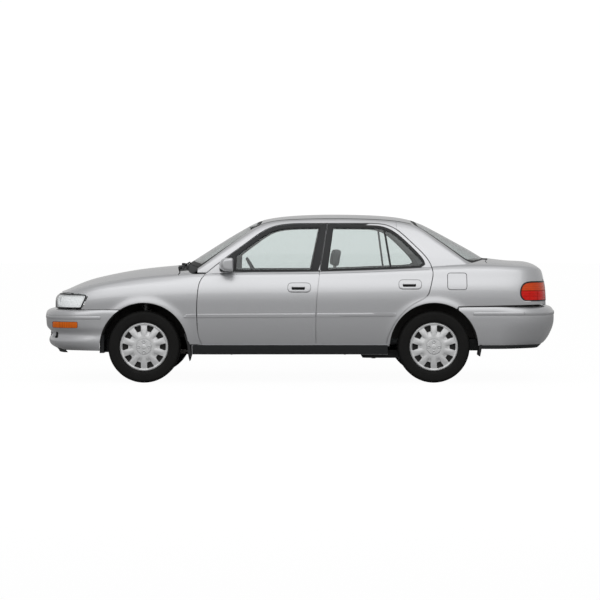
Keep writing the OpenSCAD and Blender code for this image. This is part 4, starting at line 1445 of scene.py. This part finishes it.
class ScreenGlass(bpy.types.Operator):
    """Builds the windshield and the rear window with their dark borders."""
    bl_idname = "sedan.screens"
    bl_label = "Windshield and rear window"

    def execute(self, context):
        top = upper(-1200, -300, half=False)
        pillars = pillar_shell(-1200, -300) & side(PILLAR_LINE + [(0, 1470), (0, 975)], 1)
        region = plan(WINDSHIELD, -1, 900, 1600) - pillars - pillars.flipped()
        sheet = layer(top, -3, -8, "z") & region
        inside = plan(WINDSHIELD, -36, 850, 1650)
        piece(sheet & inside, "windshield_glass", "window glass", ["windshield"], like=("upper",),
              reach=12)
        piece(sheet - inside, "windshield_border", "dark glass edge", like=("upper",), reach=12)

        apron = layer(top, -9, -15, "z") & block((-1300, -780, 950), (-800, 780, 1045))
        piece(apron - pillars - pillars.flipped(), "windshield_apron", "black trim",
              like=("upper",), reach=20)

        top = upper(950, 1850, half=False)
        region = plan(REAR_WINDOW, -1, 1058, 1600)
        sheet = layer(top, -3, -8, "z") & region
        inside = plan(REAR_WINDOW, -34, 850, 1650)
        piece(sheet & inside, "rear_window_glass", "window glass", ["rear_window"], like=("upper",),
              reach=12)
        border = (layer(top, -1, -11, "z") & region) - inside
        piece(border, "rear_window_border", "dark glass edge", like=("upper",), reach=14)
        back = lower(1550, 1800, half=False)
        gutter = layer(back, -3, -14, "z") & block(
            (1560, -655, 900), (1735, 655, 1200))
        gutter = gutter - lid_region(2) - top.moved(0, 0, -10)
        piece(gutter, "rear_gutter", "black trim")
        return {"FINISHED"}


def roof_over(x, y, lift):
    """A point above the car's skin."""
    best = None
    for kind in ("lower", "upper"):
        hit = skin_tree(kind)[0].ray_cast(Vector((x, y, 2000)), Vector((0, 0, -1)))[0]
        if hit is not None and (best is None or hit.z > best):
            best = hit.z
    return (x, y, best + lift)


class Fittings(bpy.types.Operator):
    """Builds the mirrors, wipers and mud flaps."""
    bl_idname = "sedan.fittings"
    bl_label = "Mirrors, wipers and mud flaps"

    def execute(self, context):
        shell = box((-652, -868, 1043), (128, 136, 128))
        edit_faces(shell, lambda f: True)
        bpy.ops.mesh.subdivide(number_cuts=3)
        edit_done()
        back, root, middle_z, size = -588, -804, 1043, 128
        for v in shell.data.vertices:
            x, y, z = v.co / MM
            out, front = (root - y) / size, (back - x) / size
            high = (z - middle_z) / (size / 2)
            depth = front * size * (1 - 0.20 * out ** 2 - 0.16 * high ** 2)
            height = (z - middle_z) * (1 - 0.20 * front ** 2 - 0.10 * out ** 2)
            v.co.x, v.co.z = (back - depth) * MM, (middle_z + height + 3 * out) * MM
        applied(shell, "SUBSURF", levels=2, render_levels=2)
        edit_faces(shell, lambda f: f.normal.x > 0.75 and f.calc_center_median().x > -0.602)
        bpy.ops.mesh.inset(thickness=0.007)
        bpy.ops.mesh.extrude_region_move(TRANSFORM_OT_translate={"value": (-0.012, 0, 0)})
        edit_done()
        both(shell, "mirror_shell_{side}", "body paint", ["mirror_{side}"],
             body="front_door_{side}")
        both(box((-600, -872, 1044), (3, 110, 94)), "mirror_glass_{side}", "mirror glass",
             body="front_door_{side}", edge=1.2, segments=2)
        foot = box((-652, -822, 1004), (92, 66, 30))
        edit_faces(foot, lambda f: f.normal.y > 0.5)
        bpy.ops.transform.resize(value=(1.35, 1, 1.3))
        edit_done()
        both(foot, "mirror_foot_{side}", "black trim", body="front_door_{side}", edge=7)

        for k, (y0, y1, x0) in enumerate(((-560, -20, -1085), (20, 560, -1092))):
            pivot = roof_over(x0 + 8, y0 + 60, 8)
            tip = roof_over(x0 + 60, (y0 + y1) / 2 + 40, 12)
            arm = bar([pivot, roof_over(x0 + 30, y0 + 150, 13), tip], 5.5, 10)
            cap = rod(pivot, 15, 22, around=24)
            edges_rounded(cap, 3)
            blade = bar([roof_over(x0 + 60 + 20 * abs(t - 0.5), y0 + 40 + t * 470, 6)
                         for t in (0, 0.25, 0.5, 0.75, 1)], 4.5, 8)
            bow = bar([roof_over(x0 + 60 + 20 * abs(t - 0.5), y0 + 40 + t * 470,
                                 8 + 6 * math.sin(math.pi * t))
                       for t in (0.08, 0.3, 0.5, 0.7, 0.92)], 3.2, 8)
            done([arm, cap, blade, bow], "wiper_%d" % k, "black trim")

        flap = prism([(-1012, 446), (-972, 340), (-960, 240), (-974, 190), (-986, 240),
                      (-994, 330), (-1024, 430)], -846, -690)
        pair(flap, "mud_flap_front_{side}", "rubber seal", bevel=3)
        closer = block((-985, -800, 258), (-872, -690, 352))
        pair(closer, "sill_end_{side}", "black trim", bevel=4)
        flap = prism([(1549, 462), (1574, 468), (1608, 340), (1600, 284), (1590, 232),
                      (1574, 244), (1580, 300), (1584, 350)], -846, -690)
        pair(flap, "mud_flap_rear_{side}", "rubber seal", bevel=3)
        return {"FINISHED"}


class Wheels(bpy.types.Operator):
    """Builds the four tyres, rims, wheel covers and brakes."""
    bl_idname = "sedan.wheels"
    bl_label = "Wheels"

    def execute(self, context):
        sizes = context.scene.sedan_sizes
        tyre, cover = self.tyre_form(sizes), self.cover_form(sizes)
        rim = turned([(211, -76), (211, 60), (204, 64), (190, 56), (184, 20), (186, -60),
                      (192, -76)], 120) | turned(
            [(186, 36), (150, 30), (120, 34), (80, 22), (40, 22), (40, 14), (80, 12), (120, 24),
             (150, 20), (188, 26)], 120)
        disc = turned([(128, -18), (128, -30), (60, -30), (60, 6), (30, 6), (30, 0), (54, 0),
                       (54, -18)], 96)
        for where, x in (("front", FRONT_X), ("rear", REAR_X)):
            for right in (False, True):
                tag = sided(where + "_{side}", right)
                body = "road_wheel_" + tag
                sign = 1 if right else -1
                place = Matrix.Translation((x, sign * WHEEL_Y, WHEEL_Z)) @ Matrix.Scale(
                    sign, 4, (0, 1, 0))
                for form, name, finish, stands_for, sharp in (
                        (tyre, "tyre_skin_", "tyre rubber", ["tyre_" + tag], 28),
                        (rim, "steel_rim_", "steel rim", [], 30),
                        (cover, "wheel_cover_", "wheel silver", ["wheel_" + tag], 42),
                        (disc, "brake_disc_", "worn steel", [], 30)):
                    made = form.placed(place)
                    if not right:
                        made.mesh.flip_normals()
                    piece(made, name + tag, finish, stands_for, body, sharp=sharp)
                if where == "front":
                    caliper = box((x + 88, sign * (WHEEL_Y - 26), WHEEL_Z + 60), (60, 62, 110))
                    done(caliper, "brake_caliper_" + tag, "cast metal",
                         body=sided("steering_knuckle_{side}", right), edge=14)
        return {"FINISHED"}

    def tyre_form(self, sizes):
        """A tyre with a rounded shoulder, grooves round the tread and cut blocks."""
        half = [(318, 0), (318, 62), (315, 78), (308, 90), (296, 97), (280, 98), (262, 98),
                (243, 97), (231, 94), (222, 88), (216, 79), (212, 64)]
        line = flowing(half, 3)
        body = turned([(r, -y) for r, y in line[:0:-1]] + line, 216)
        for y in (-52, -18, 18, 52):
            body = body - turned([(330, y - 4.5), (330, y + 4.5), (311, y + 3), (311, y - 3)], 216)
        count = sizes.tread
        points, faces = [], []
        for k in range(count):
            for s in (-1, 1):
                a = math.tau * (k + (0.25 if s > 0 else 0)) / count
                for y0, y1, r0, wide, lean in ((56, 108, 309, 0.16, 0.25),
                                               (22, 48, 312, 0.13, 0.1)):
                    base = len(points)
                    for r in (r0, 330):
                        for y, d in ((y0, 0), (y1, lean)):
                            for w in (-wide / 2, wide / 2):
                                t = a + (w + d) * math.tau / count
                                points.append((r * math.cos(t), s * y, r * math.sin(t)))
                    b = base
                    faces += [(b, b + 1, b + 3, b + 2), (b + 4, b + 6, b + 7, b + 5),
                              (b, b + 4, b + 5, b + 1), (b + 2, b + 3, b + 7, b + 6),
                              (b, b + 2, b + 6, b + 4), (b + 1, b + 5, b + 7, b + 3)]
        return body - Form.made(points, faces)

    def cover_height(self, r, a, count):
        """How far out the face of a wheel cover is, at a radius and an angle."""
        spoke = math.cos(count * a)     # 1 in the middle of an opening, -1 on a spoke
        dish = 92 - 14 * (r / 200) ** 2 + 7 * hump(r, 204, 7)
        opening = -11 * ease((r - 96) / 34) * ease((201 - r) / 13) * ease((spoke + 0.15) / 0.9)
        crest = 2.2 * ease((r - 80) / 40) * ease((190 - r) / 40) * ease((-spoke - 0.2) / 0.8)
        hub = 4 * ease((69 - r) / 7) - 4.5 * hump(r, 68, 2.4)
        disc = 3 * ease((21 - r) / 4) - 1.2 * hump(r, 17, 1.6)
        nuts, nut_circle = 0, 46
        for m in range(4):
            d = math.hypot(r * math.cos(a) - nut_circle * math.cos(m * math.pi / 2),
                           r * math.sin(a) - nut_circle * math.sin(m * math.pi / 2))
            nuts += 5 * ease((17 - d) / 3) - 9 * ease((11.5 - d) / 2.5) - 1.6 * hump(d, 19.5, 1.6)
        rolled_edge = -13 * ease((r - 212) / 8)
        return float(dish + opening + crest + hub + disc + nuts + rolled_edge)

    def cover_form(self, sizes):
        """A wheel cover: a dished disc with openings between raised spokes, and a hub."""
        radius, count = sizes.cover / MM, sizes.windows
        around = count * 28
        rings = [0.5, 5, 10, *range(13, 22, 2), 24, *range(27, 72, 2), *range(76, 125, 8),
                 *range(130, 185, 6), *range(188, 201, 4), *range(203, 219, 3), radius]
        outer = []
        for r in rings:
            row = []
            for k in range(around):
                a = math.tau * k / around
                row.append((r * math.cos(a), self.cover_height(r, a, count), r * math.sin(a)))
            outer.append(row)
        points = [p for row in outer for p in row]
        n = len(rings)
        for row in outer:
            shrink = 0.985 if row is outer[-1] else 1
            points += [(x * shrink, y - 3.2, z * shrink) for x, y, z in row]
        half, faces = n * around, []
        for r in range(n - 1):
            for k in range(around):
                a, b = r * around + k, r * around + (k + 1) % around
                faces.append((a, b, b + around, a + around))
                faces.append((a + half, a + half + around, b + half + around, b + half))
        for k in range(around):
            a, b = (n - 1) * around + k, (n - 1) * around + (k + 1) % around
            faces.append((a, b, b + half, a + half))
        faces += [tuple(range(around)), tuple(range(half + around - 1, half - 1, -1))]
        form = Form.made(points, faces)
        window = rounded([(139, -16), (191, -34), (191, 34), (139, 16)], 10, 6)
        for k in range(count):
            turn = Matrix.Rotation(-math.tau * k / count, 4, "Y")
            form = form - prism(window, 20, 130).placed(turn)
        return form


def pad(length, width, thick, lengthwise=(), crosswise=(), bolster=0.0, crown=10.0, belly=0.0):
    """A stuffed pad lying along x: crowned, its sides pulled in, with sewn channels."""
    nu, nv = 64, 56
    channel = 7

    def spread_out(n):
        return [math.sin(math.pi / 2 * (2 * k / n - 1)) for k in range(n + 1)]

    def fall(t):
        return max(0.0, 1 - abs(t) ** 7) ** (1 / 2.6)

    def level(u, v, top):
        edge = fall(u) * fall(v)
        if not top:
            return thick / 2 - thick / 2 * edge * (1 - 0.10 * (1 - u * u) * (1 - v * v))
        z = thick / 2 + thick / 2 * edge + crown * (1 - u * u) * (1 - v * v)
        z += bolster * float(ease((abs(v) - 0.52) / 0.22)) * edge
        z += belly * hump(u, 0.1, 0.5) * (1 - v * v)
        for line in lengthwise:
            z -= 8 * hump(v * width / 2, line * width / 2, channel) * edge
        for line in crosswise:
            across = float(ease((0.56 - abs(v)) / 0.06)) if bolster else 1.0
            z -= 6 * hump(u * length / 2, line * length / 2, channel) * edge * across
        seam = max(abs(u), abs(v))
        return z - 2.5 * hump(seam, 0.955, 0.012)

    us, vs = spread_out(nu), spread_out(nv)
    points, faces = [], []
    for top in (True, False):
        for u in us:
            for v in vs:
                pull = 1 - 0.035 * (u * u + v * v) / 2 + 0.02 * (1 - abs(u * v))
                points.append((length / 2 * u * min(pull, 1.0) * (1 - 0.05 * v ** 8),
                               width / 2 * v * min(pull, 1.0) * (1 - 0.05 * u ** 8),
                               level(u, v, top)))
    half, row = (nu + 1) * (nv + 1), nv + 1
    for i in range(nu):
        for j in range(nv):
            a = i * row + j
            faces.append((a, a + row, a + row + 1, a + 1))
            faces.append((half + a, half + a + 1, half + a + row + 1, half + a + row))
    return Form.made(points, faces)


def leaned(x, y, z, rise, run):
    """The place of a pad whose length runs up and back, with its face to the front."""
    length = math.hypot(rise, run)
    up, face = (run / length, 0, rise / length), (-rise / length, 0, run / length)
    return Matrix(((up[0], 0, face[0], x), (0, 1, 0, y), (up[2], 0, face[2], z), (0, 0, 0, 1)))


class Cabin(bpy.types.Operator):
    """Builds the seats, the dashboard, the steering wheel and the trim inside."""
    bl_idname = "sedan.cabin"
    bl_label = "Cabin"

    def execute(self, context):
        self.seats()
        self.dashboard()
        self.steering_wheel()
        self.floor()
        return {"FINISHED"}

    def cushion(self, form, name, replaces=(), fill=0.8):
        piece(form, name, "seat cloth", replaces, sharp=60)

    def seats(self):
        for side_name, y in (("left", -370), ("right", 370)):
            base = pad(452, 484, 138, (-0.54, 0.54), (-0.2, 0.25), 12, 6).placed(
                posed((-100, y, 303), -1.5, "Y"))
            self.cushion(base, "front_cushion_" + side_name, replaces=["front_seats"])
            back = pad(640, 480, 92, (-0.54, 0.54), (-0.35, 0.05, 0.42), 14, 5, 4).placed(
                leaned(277, y, 686, 560, 150))
            self.cushion(back, "front_backrest_" + side_name)
            head = pad(150, 226, 72, (), (), 0, 6).placed(leaned(364, y, 1098, 90, 16))
            self.cushion(head, "front_headrest_" + side_name, fill=0.9)
            posts = [bar([(316, y + s, 990), (330, y + s, 1075)], 6) for s in (-48, 48)]
            done(posts, "headrest_posts_" + side_name, "worn steel")
            rails = [box((-85, y + s, 290), (400, 34, 22)) for s in (-150, 150)]
            rails += [box((-85, y + s, 320), (380, 14, 46)) for s in (-232, 232)]
            rails += [rod((138, y + s, 378), 42, 14, (math.radians(90), 0, 0)) for s in (-236, 236)]
            done(rails, "seat_frame_" + side_name, "black trim", edge=5)
        base = pad(470, 1180, 150, (-0.38, 0.38), (-0.1,), 8, 6).placed(
            posed((748, 0, 311), -1, "Y"))
        self.cushion(base, "rear_cushion", replaces=["rear_seat"])
        back = pad(540, 1180, 92, (-0.38, 0.38), (-0.25, 0.3), 10, 5).placed(
            leaned(1076, 0, 706, 440, 160))
        self.cushion(back, "rear_backrest")
        for y in (-360, 360):
            done(box((600, y * 0.42, 470), (20, 26, 60)), sided("seat_buckle_{side}", y > 0),
                 "black trim", edge=4)

    def dashboard(self):
        profile = flowing([(-852, 706), (-856, 800), (-850, 930), (-820, 968), (-740, 984),
                           (-620, 984), (-560, 972), (-530, 942), (-536, 900), (-556, 850),
                           (-572, 790), (-610, 722), (-650, 700), (-760, 698)], 4)
        main = prism(profile, -688, 688, "y")
        for y, z in ((-588, 890), (-76, 890), (76, 890), (588, 890)):
            main = main - block((-600, y - 62, z - 24), (-500, y + 62, z + 24))
        main = main - block((-640, 180, 742), (-545, 560, 748))
        main = main - block((-640, 180, 860), (-500, 560, 864))
        piece(main, "dashboard_body", "cabin lining", ["dashboard"], bevel=3, sharp=40)
        for k, y in enumerate((-588, -76, 76, 588)):
            bars = [box((-556, y, 872 + 9 * n), (12, 120, 2.4), (0, math.radians(-25), 0))
                    for n in range(5)]
            bars += [box((-560, y + 30 * n, 890), (8, 3, 44)) for n in (-1, 0, 1)]
            done(bars, "air_vent_%d" % k, "black trim")
        hood = prism(flowing([(-700, 984), (-640, 1010), (-570, 1014), (-520, 1000), (-516, 990),
                              (-560, 992), (-600, 984)], 3), -520, -220, "y")
        piece(hood, "gauge_hood", "cabin lining", bevel=4)
        dial = prism([(-552, 915), (-572, 985), (-568, 985), (-548, 915)], -510, -230, "y")
        piece(dial, "gauge_face", "black gloss")
        rings = [as_object(turned([(r, 0), (r, 4), (r - 4, 4), (r - 4, 0)], 40).placed(
            posed((-556, y, 950), -90, "Z")))
            for y, r in ((-420, 30), (-320, 30), (-475, 18), (-262, 18))]
        done(rings, "gauge_rings", "worn steel")
        radio = [box((-545, 0, z), (14, 178, 42)) for z in (822, 776)]
        done(radio, "radio", "black gloss", edge=2)
        knobs = [rod((-536, y, z), 10, 20, (0, math.radians(90), 0), 20)
                 for y in (-70, 70) for z in (822, 776)]
        done(knobs, "radio_knobs", "black trim")

    def steering_wheel(self):
        turn = posed((-390, -370, 940), 60, "Y")
        rim = turned(oval(180, 0, 13, 13, 16)).placed(posed((0, 0, 0), 90, "X"))
        piece(rim.placed(turn), "steering_rim", "black trim", ["steering_wheel"],
              body="steering_wheel")
        parts = []
        for a in (-90, 0, 90):
            spin = Matrix.Rotation(math.radians(a), 4, "Z")
            parts.append(as_object(prism(rounded([(40, -26), (172, -15), (172, 15), (40, 26)],
                                                 8, 3), -12, 4, "z").placed(turn @ spin)))
        hub = as_object(prism(rounded([(-52, -66), (44, -74), (44, 74), (-52, 66)], 22, 5),
                              -24, 16, "z").placed(turn))
        edges_rounded(hub, 7, 3)
        column = as_object(prism(oval(0, 0, 24, 24, 32), -86, -22, "z").placed(turn))
        done(parts + [hub, column], "steering_hub", "cabin lining", body="steering_wheel")
        shroud = as_object(prism(oblong(-50, -42, 50, 42, 20), -200, -96, "z").placed(turn))
        edges_rounded(shroud, 6)
        stalks = [bar([(-484, -370 + s * 40, 886), (-476, -370 + s * 110, 896),
                       (-470, -370 + s * 165, 902)], 6, 10) for s in (-1, 1)]
        done([shroud] + stalks, "column_shroud", "black trim")

    def floor(self):
        mats = [block((x0, y0, 278.2), (x1, y1, 286)) for x0, x1 in ((-872, -336), (142, 536))
                for y0, y1 in ((-729, -108), (108, 729))]
        piece(joined(mats), "carpet", "carpet", bevel=3)
        console = prism(flowing([(-700, 360), (-700, 640), (-640, 690), (-560, 560), (-420, 470),
                                 (-100, 452), (90, 470), (110, 440), (110, 362), (-300, 361)], 3),
                        -92, 92, "y")
        piece(console, "centre_console", "cabin lining", bevel=8)
        stick = bar([(-330, 0, 455), (-322, 0, 520), (-318, 0, 575)], 7)
        knob = rod((-317, 0, 588), 19, 44, around=28)
        edges_rounded(knob, 8, 4)
        boot = rod((-330, 0, 468), 44, 26, around=32)
        edges_rounded(boot, 9)
        done([stick, knob, boot], "gear_lever", "black trim")
        done(bar([(-40, 40, 458), (-130, 40, 505), (-180, 40, 528)], 12, 16), "hand_brake",
             "black trim")
        shelf = block((1090, -640, 944), (1560, 640, 958))
        shelf = shelf - lid_region(6)
        piece(shelf & lower(900, 1700, half=False).moved(0, 0, -24), "rear_shelf", "carpet",
              bevel=3)
        mirror = box((-500, 0, 1302), (14, 220, 58), (0, math.radians(8), 0))
        edges_rounded(mirror, 6)
        arm = bar([(-494, 0, 1318), (-470, 0, 1350), (-448, 0, 1372)], 6, 10)
        done([mirror, arm], "rear_view_mirror", "black trim")
        for s, name in ((-1, "left"), (1, "right")):
            done(box((-395, s * 300, 1392), (120, 380, 12), (0, math.radians(-14), 0)),
                 "sun_visor_" + name, "roof lining", slot="seat_cloth", edge=5)
        pedals = []
        for y, wide in ((-470, 54), (-395, 70), (-300, 50)):
            pedals.append(box((-800, y, 400), (10, wide, 62), (0, math.radians(-28), 0)))
            pedals.append(bar([(-806, y, 404), (-840, y, 500), (-838, y, 640)], 6, 8))
        done(pedals, "pedals", "black trim")


class Underside(bpy.types.Operator):
    """Dresses the floor, frame members, axles, tank and exhaust, seen from below."""
    bl_idname = "sedan.underside"
    bl_label = "Underside"

    PLAIN = (("underbody", "underside"), ("wheel_housings", "underside"),
             ("front_subframe", "cast metal"), ("rear_axle", "cast metal"),
             ("knuckle_left", "cast metal"), ("knuckle_right", "cast metal"))

    def execute(self, context):
        for node, finish in self.PLAIN:
            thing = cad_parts[node]
            thing.data.materials.clear()
            thing.data.materials.append(FINISHES[finish])
        self.exhaust()
        self.tank()
        self.floor_ribs()
        self.springs()
        return {"FINISHED"}

    def exhaust(self):
        line = [(-1180, 160, 260), (-1120, 160, 236), (-1060, 160, 220), (-500, 160, 220),
                (100, 160, 220), (700, 160, 220), (1180, 160, 220), (1290, 160, 222),
                (1430, 160, 304), (1500, 160, 306), (1884, 160, 306)]
        form = tube(line, 22, 24)
        piece(form, "exhaust_pipe", "worn steel", ["exhaust"], slot="exhaust_steel")
        for name, x0, x1, wide, high in (("front_silencer", -420, -80, 82, 28),
                                         ("rear_silencer", 1490, 1830, 120, 48)):
            can = prism(oval(160, 226 if x0 < 0 else 330, wide, high, 40), x0, x1, "x")
            piece(can, name, "worn steel", slot="exhaust_steel", bevel=9)
        straps = []
        for x in (-640, 420, 1150):
            strap = turned([(25, -9), (25, 9), (22.5, 9), (22.5, -9)], 32)
            hanger = block((x - 4, 156, 242), (x + 4, 164, 268))
            straps.append(strap.placed(posed((x, 160, 220), 90, "Z")) | hanger)
        piece(joined(straps), "exhaust_hangers", "cast metal")

    def tank(self):
        form = prism(rounded([(562, -558), (998, -558), (998, 78), (562, 78)], 60, 8), 206, 261,
                     "z")
        for y in (-440, -240, -40):
            form = form - block((600, y - 16, 180), (960, y + 16, 211))
        piece(form, "tank_shell", "tank plastic", ["fuel_tank"], bevel=14)
        straps = [box((x, -240, 204), (34, 660, 4)) for x in (660, 900)]
        done(straps, "tank_straps", "worn steel")

    def floor_ribs(self):
        ribs = [prism(rounded([(-840, y - 22), (520, y - 22), (520, y + 22), (-840, y + 22)],
                              18, 4), 252, 262.5, "z") for y in (-640, -520, -330, 330, 520, 640)]
        piece(joined(ribs), "floor_ribs", "underside", bevel=4)
        shield = block((-440, 60, 250), (-60, 260, 253))
        piece(shield, "heat_shield", "worn steel", bevel=1)
        lines = [bar([(-860, y, 255), (-300, y, 254), (300, y, 254), (760, y, 256)], 4, 8)
                 for y in (-92, -78, -64)]
        done(lines, "fuel_and_brake_lines", "worn steel")

    def springs(self):
        turns, radius, seat = 5, 48, 400
        for where, x, top in (("front", FRONT_X, 700), ("rear", REAR_X + 30, 610)):
            coil = [(x + radius * math.cos(turns * math.tau * k / 25),
                     -556 + radius * math.sin(turns * math.tau * k / 25),
                     seat + (top - seat) * k / 25) for k in range(26)]
            form = tube(coil, 7, 8)
            pair(form, "spring_%s_{side}" % where, "cast metal")


class Engine(bpy.types.Operator):
    """Builds the engine and the parts round it under the hood."""
    bl_idname = "sedan.engine"
    bl_label = "Engine"

    CYLINDERS = (-150, -65, 20, 105)

    def execute(self, context):
        low = prism(rounded([(-1700, 366), (-1300, 366), (-1260, 430), (-1280, 640),
                             (-1320, 690), (-1690, 690), (-1720, 640), (-1720, 430)], 26, 4),
                    -250, 180, "y")
        piece(low, "engine_crankcase", "cast metal", ["engine_block"], bevel=6)
        ribs = [box((-1490 + k * 60, -252, 520), (8, 10, 260)) for k in range(-3, 4)]
        done(ribs, "crankcase_ribs", "cast metal", edge=2)
        box_form = prism(rounded([(-1660, 400), (-1330, 400), (-1340, 600), (-1640, 600)], 40, 5),
                         180, 296, "y")
        piece(box_form, "gearbox", "cast metal", bevel=12)
        cover = prism(rounded([(-1560, -235), (-1400, -235), (-1400, 165), (-1560, 165)], 26, 5),
                      690, 768, "z")
        for y in self.CYLINDERS:
            cover = cover - prism(oval(-1480, y, 15, 15, 24), 756, 780, "z")
        piece(cover, "cam_cover", "engine cover", bevel=7)
        done(rod((-1430, -205, 776), 24, 26, around=32), "oil_filler_cap", "black trim", edge=4)
        leads = [bar([(-1480, y, 764), (-1480, y, 792), (-1540, y + 6, 800),
                      (-1600, 90 + y * 0.2, 770)], 4.5, 8) for y in self.CYLINDERS]
        done(leads, "ignition_leads", "rubber seal")
        runners = [bar([(-1400, y, 660), (-1340, y, 720), (-1300, y, 770), (-1290, y, 790)],
                       19, 16) for y in self.CYLINDERS]
        plenum = as_object(prism(rounded([(-1330, 760), (-1250, 760), (-1250, 820),
                                          (-1330, 820)], 22, 5), -200, 150, "y"))
        done(runners + [plenum], "intake_manifold", "cast metal")
        pulleys = [as_object(turned([(r, 0), (r, 24), (r - 5, 20), (r - 5, 4), (0.5, 2),
                                     (0.5, 0)], 48).moved(x, -276, z))
                   for x, z, r in ((-1490, 450, 66), (-1600, 600, 38), (-1390, 610, 44))]
        done(pulleys, "pulleys", "worn steel")
        belt = prism(flowing([(-1490, 383), (-1432, 420), (-1346, 606), (-1390, 655),
                              (-1600, 640), (-1640, 596), (-1552, 420), (-1490, 383)], 4), -272,
                     -258, "y")
        inner = prism(flowing([(-1490, 388), (-1437, 422), (-1351, 606), (-1390, 650),
                               (-1600, 635), (-1635, 596), (-1547, 422), (-1490, 388)], 4), -280,
                      -250, "y")
        piece(belt - inner, "drive_belt", "rubber seal")
        done(box((-2060, 0, 560), (34, 620, 330)), "radiator", "cast metal", edge=5)
        fins = [box((-2041, 0, 410 + 12 * k), (4, 560, 3)) for k in range(26)]
        done(fins, "radiator_fins", "worn steel")
        done(bar([(-2040, -200, 700), (-1930, -210, 735), (-1820, -180, 740), (-1700, -120, 690)],
                 20, 16), "radiator_hose", "rubber seal")
        done(box((-1830, 470, 690), (170, 240, 170)), "battery", "black trim", edge=7)
        posts = [rod((-1790, y, 782), 9, 18, around=20) for y in (390, 550)]
        done(posts, "battery_posts", "worn steel")
        filter_box = box((-1800, -470, 700), (210, 230, 150))
        edges_rounded(filter_box, 22, 4)
        duct = bar([(-1710, -430, 730), (-1600, -330, 770), (-1440, -290, 790),
                    (-1300, -220, 792)], 30, 20)
        done([filter_box, duct], "air_filter", "black trim")
        tray = box((-1850, 470, 590), (220, 280, 20))
        other = box((-1810, -470, 610), (220, 260, 20))
        done([tray, other], "engine_bay_trays", "underside")
        done(box((-1200, 560, 740), (130, 110, 150)), "washer_bottle", "plate blank", edge=20,
             segments=4)
        for s, name in ((-1, "left"), (1, "right")):
            top = rod((FRONT_X + 40, s * 560, 826), 62, 22, around=40)
            edges_rounded(top, 7)
            nut = rod((FRONT_X + 40, s * 560, 843), 14, 14, around=6)
            done([top, nut], "strut_top_" + name, "cast metal")
        return {"FINISHED"}


class Stage(bpy.types.Operator):
    """Sets up the floor, the soft studio light and the camera."""
    bl_idname = "sedan.stage"
    bl_label = "Studio"

    def execute(self, context):
        bpy.ops.object.select_all(action="DESELECT")
        bpy.ops.mesh.primitive_plane_add(size=400, location=(0, 0, 0))
        floor = context.active_object
        floor.name = "floor"
        f = Finish("studio floor")
        f.set(Base_Color=f.mix(f.noise(1.5, 3) * 0.2, colour_of(0.34), colour_of(0.32)),
              Roughness=0.9)
        seen = f.node("ShaderNodeLightPath")
        glow = f.node("ShaderNodeEmission", None, Color=(1, 1, 1, 1), Strength=1.1)
        f.show(Wire(f, f.shader.outputs[0]), glow, seen * 0.88)
        floor.data.materials.append(f.material)

        world = bpy.data.worlds.new("studio")
        context.scene.world = world
        world.use_nodes = True
        tree = world.node_tree
        back = tree.nodes["Background"]
        path = tree.nodes.new("ShaderNodeLightPath")
        add = tree.nodes.new("ShaderNodeMath")
        add.operation = "MAXIMUM"
        tree.links.new(path.outputs["Is Camera Ray"], add.inputs[0])
        tree.links.new(path.outputs["Is Transmission Ray"], add.inputs[1])
        span = tree.nodes.new("ShaderNodeMapRange")
        tree.links.new(add.outputs[0], span.inputs["Value"])
        light_on_car, seen_by_camera = 0.52, 1.02
        span.inputs["To Min"].default_value = light_on_car
        span.inputs["To Max"].default_value = seen_by_camera
        back.inputs["Color"].default_value = (1, 1, 1, 1)
        tree.links.new(span.outputs["Result"], back.inputs["Strength"])

        self.lamp("overhead", (0, -2.5, 6.0), (0, 0, 1.0), wide=9.0, deep=5.0, watts=60)
        self.lamp("camera side", (0, -8.0, 5.6), (0, 0, 0.9), wide=14.0, deep=8.0, watts=325)

        camera = bpy.data.cameras.new("camera")
        camera.sensor_width, camera.lens = 36.0, 112.5
        camera.clip_end = 500
        distance, height, aim_height = 17.37, 1.147, 0.7116
        seat = bpy.data.objects.new("camera", camera)
        context.scene.collection.objects.link(seat)
        seat.location = (0, -distance, height)
        seat.rotation_euler = (math.atan2(distance, height - aim_height), 0, 0)
        context.scene.camera = seat
        context.scene.view_settings.view_transform = "Standard"
        return {"FINISHED"}

    def lamp(self, name, place, aim, wide, deep, watts):
        """Adds a soft rectangular light."""
        light = bpy.data.lights.new(name, "AREA")
        light.shape, light.size, light.size_y, light.energy = "RECTANGLE", wide, deep, watts
        thing = bpy.data.objects.new(name, light)
        bpy.context.scene.collection.objects.link(thing)
        thing.location = place
        thing.rotation_euler = (Vector(aim) - Vector(place)).to_track_quat("-Z", "Y").to_euler()


class SedanPanel(bpy.types.Panel):
    """Lists the steps that build the sedan."""
    bl_idname = "VIEW3D_PT_sedan"
    bl_label = "Sedan"
    bl_space_type = "VIEW_3D"
    bl_region_type = "UI"
    bl_category = "Sedan"

    def draw(self, context):
        for group in (context.scene.sedan_sizes, context.scene.sedan_colours):
            for key in group.bl_rna.properties.keys():
                if key not in ("rna_type", "name"):
                    self.layout.prop(group, key)
        for step in STEPS:
            self.layout.operator(step.bl_idname)


STEPS = (PaintRoom, TopPanels, SidePanels, Doors, Bumpers, Lamps, ScreenGlass, Fittings, Wheels,
         Cabin, Underside, Engine, Stage)
CLASSES = (SedanSizes, SedanColours, SedanPanel) + STEPS


def register():
    for kind in CLASSES:
        bpy.utils.register_class(kind)
    bpy.types.Scene.sedan_sizes = bpy.props.PointerProperty(type=SedanSizes)
    bpy.types.Scene.sedan_colours = bpy.props.PointerProperty(type=SedanColours)


def unregister():
    del bpy.types.Scene.sedan_colours
    del bpy.types.Scene.sedan_sizes
    for kind in reversed(CLASSES):
        bpy.utils.unregister_class(kind)


def main():
    register()
    for step in STEPS:
        group, call = step.bl_idname.split(".")
        getattr(getattr(bpy.ops, group), call)()
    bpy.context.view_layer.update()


if __name__ == "__main__":
    main()
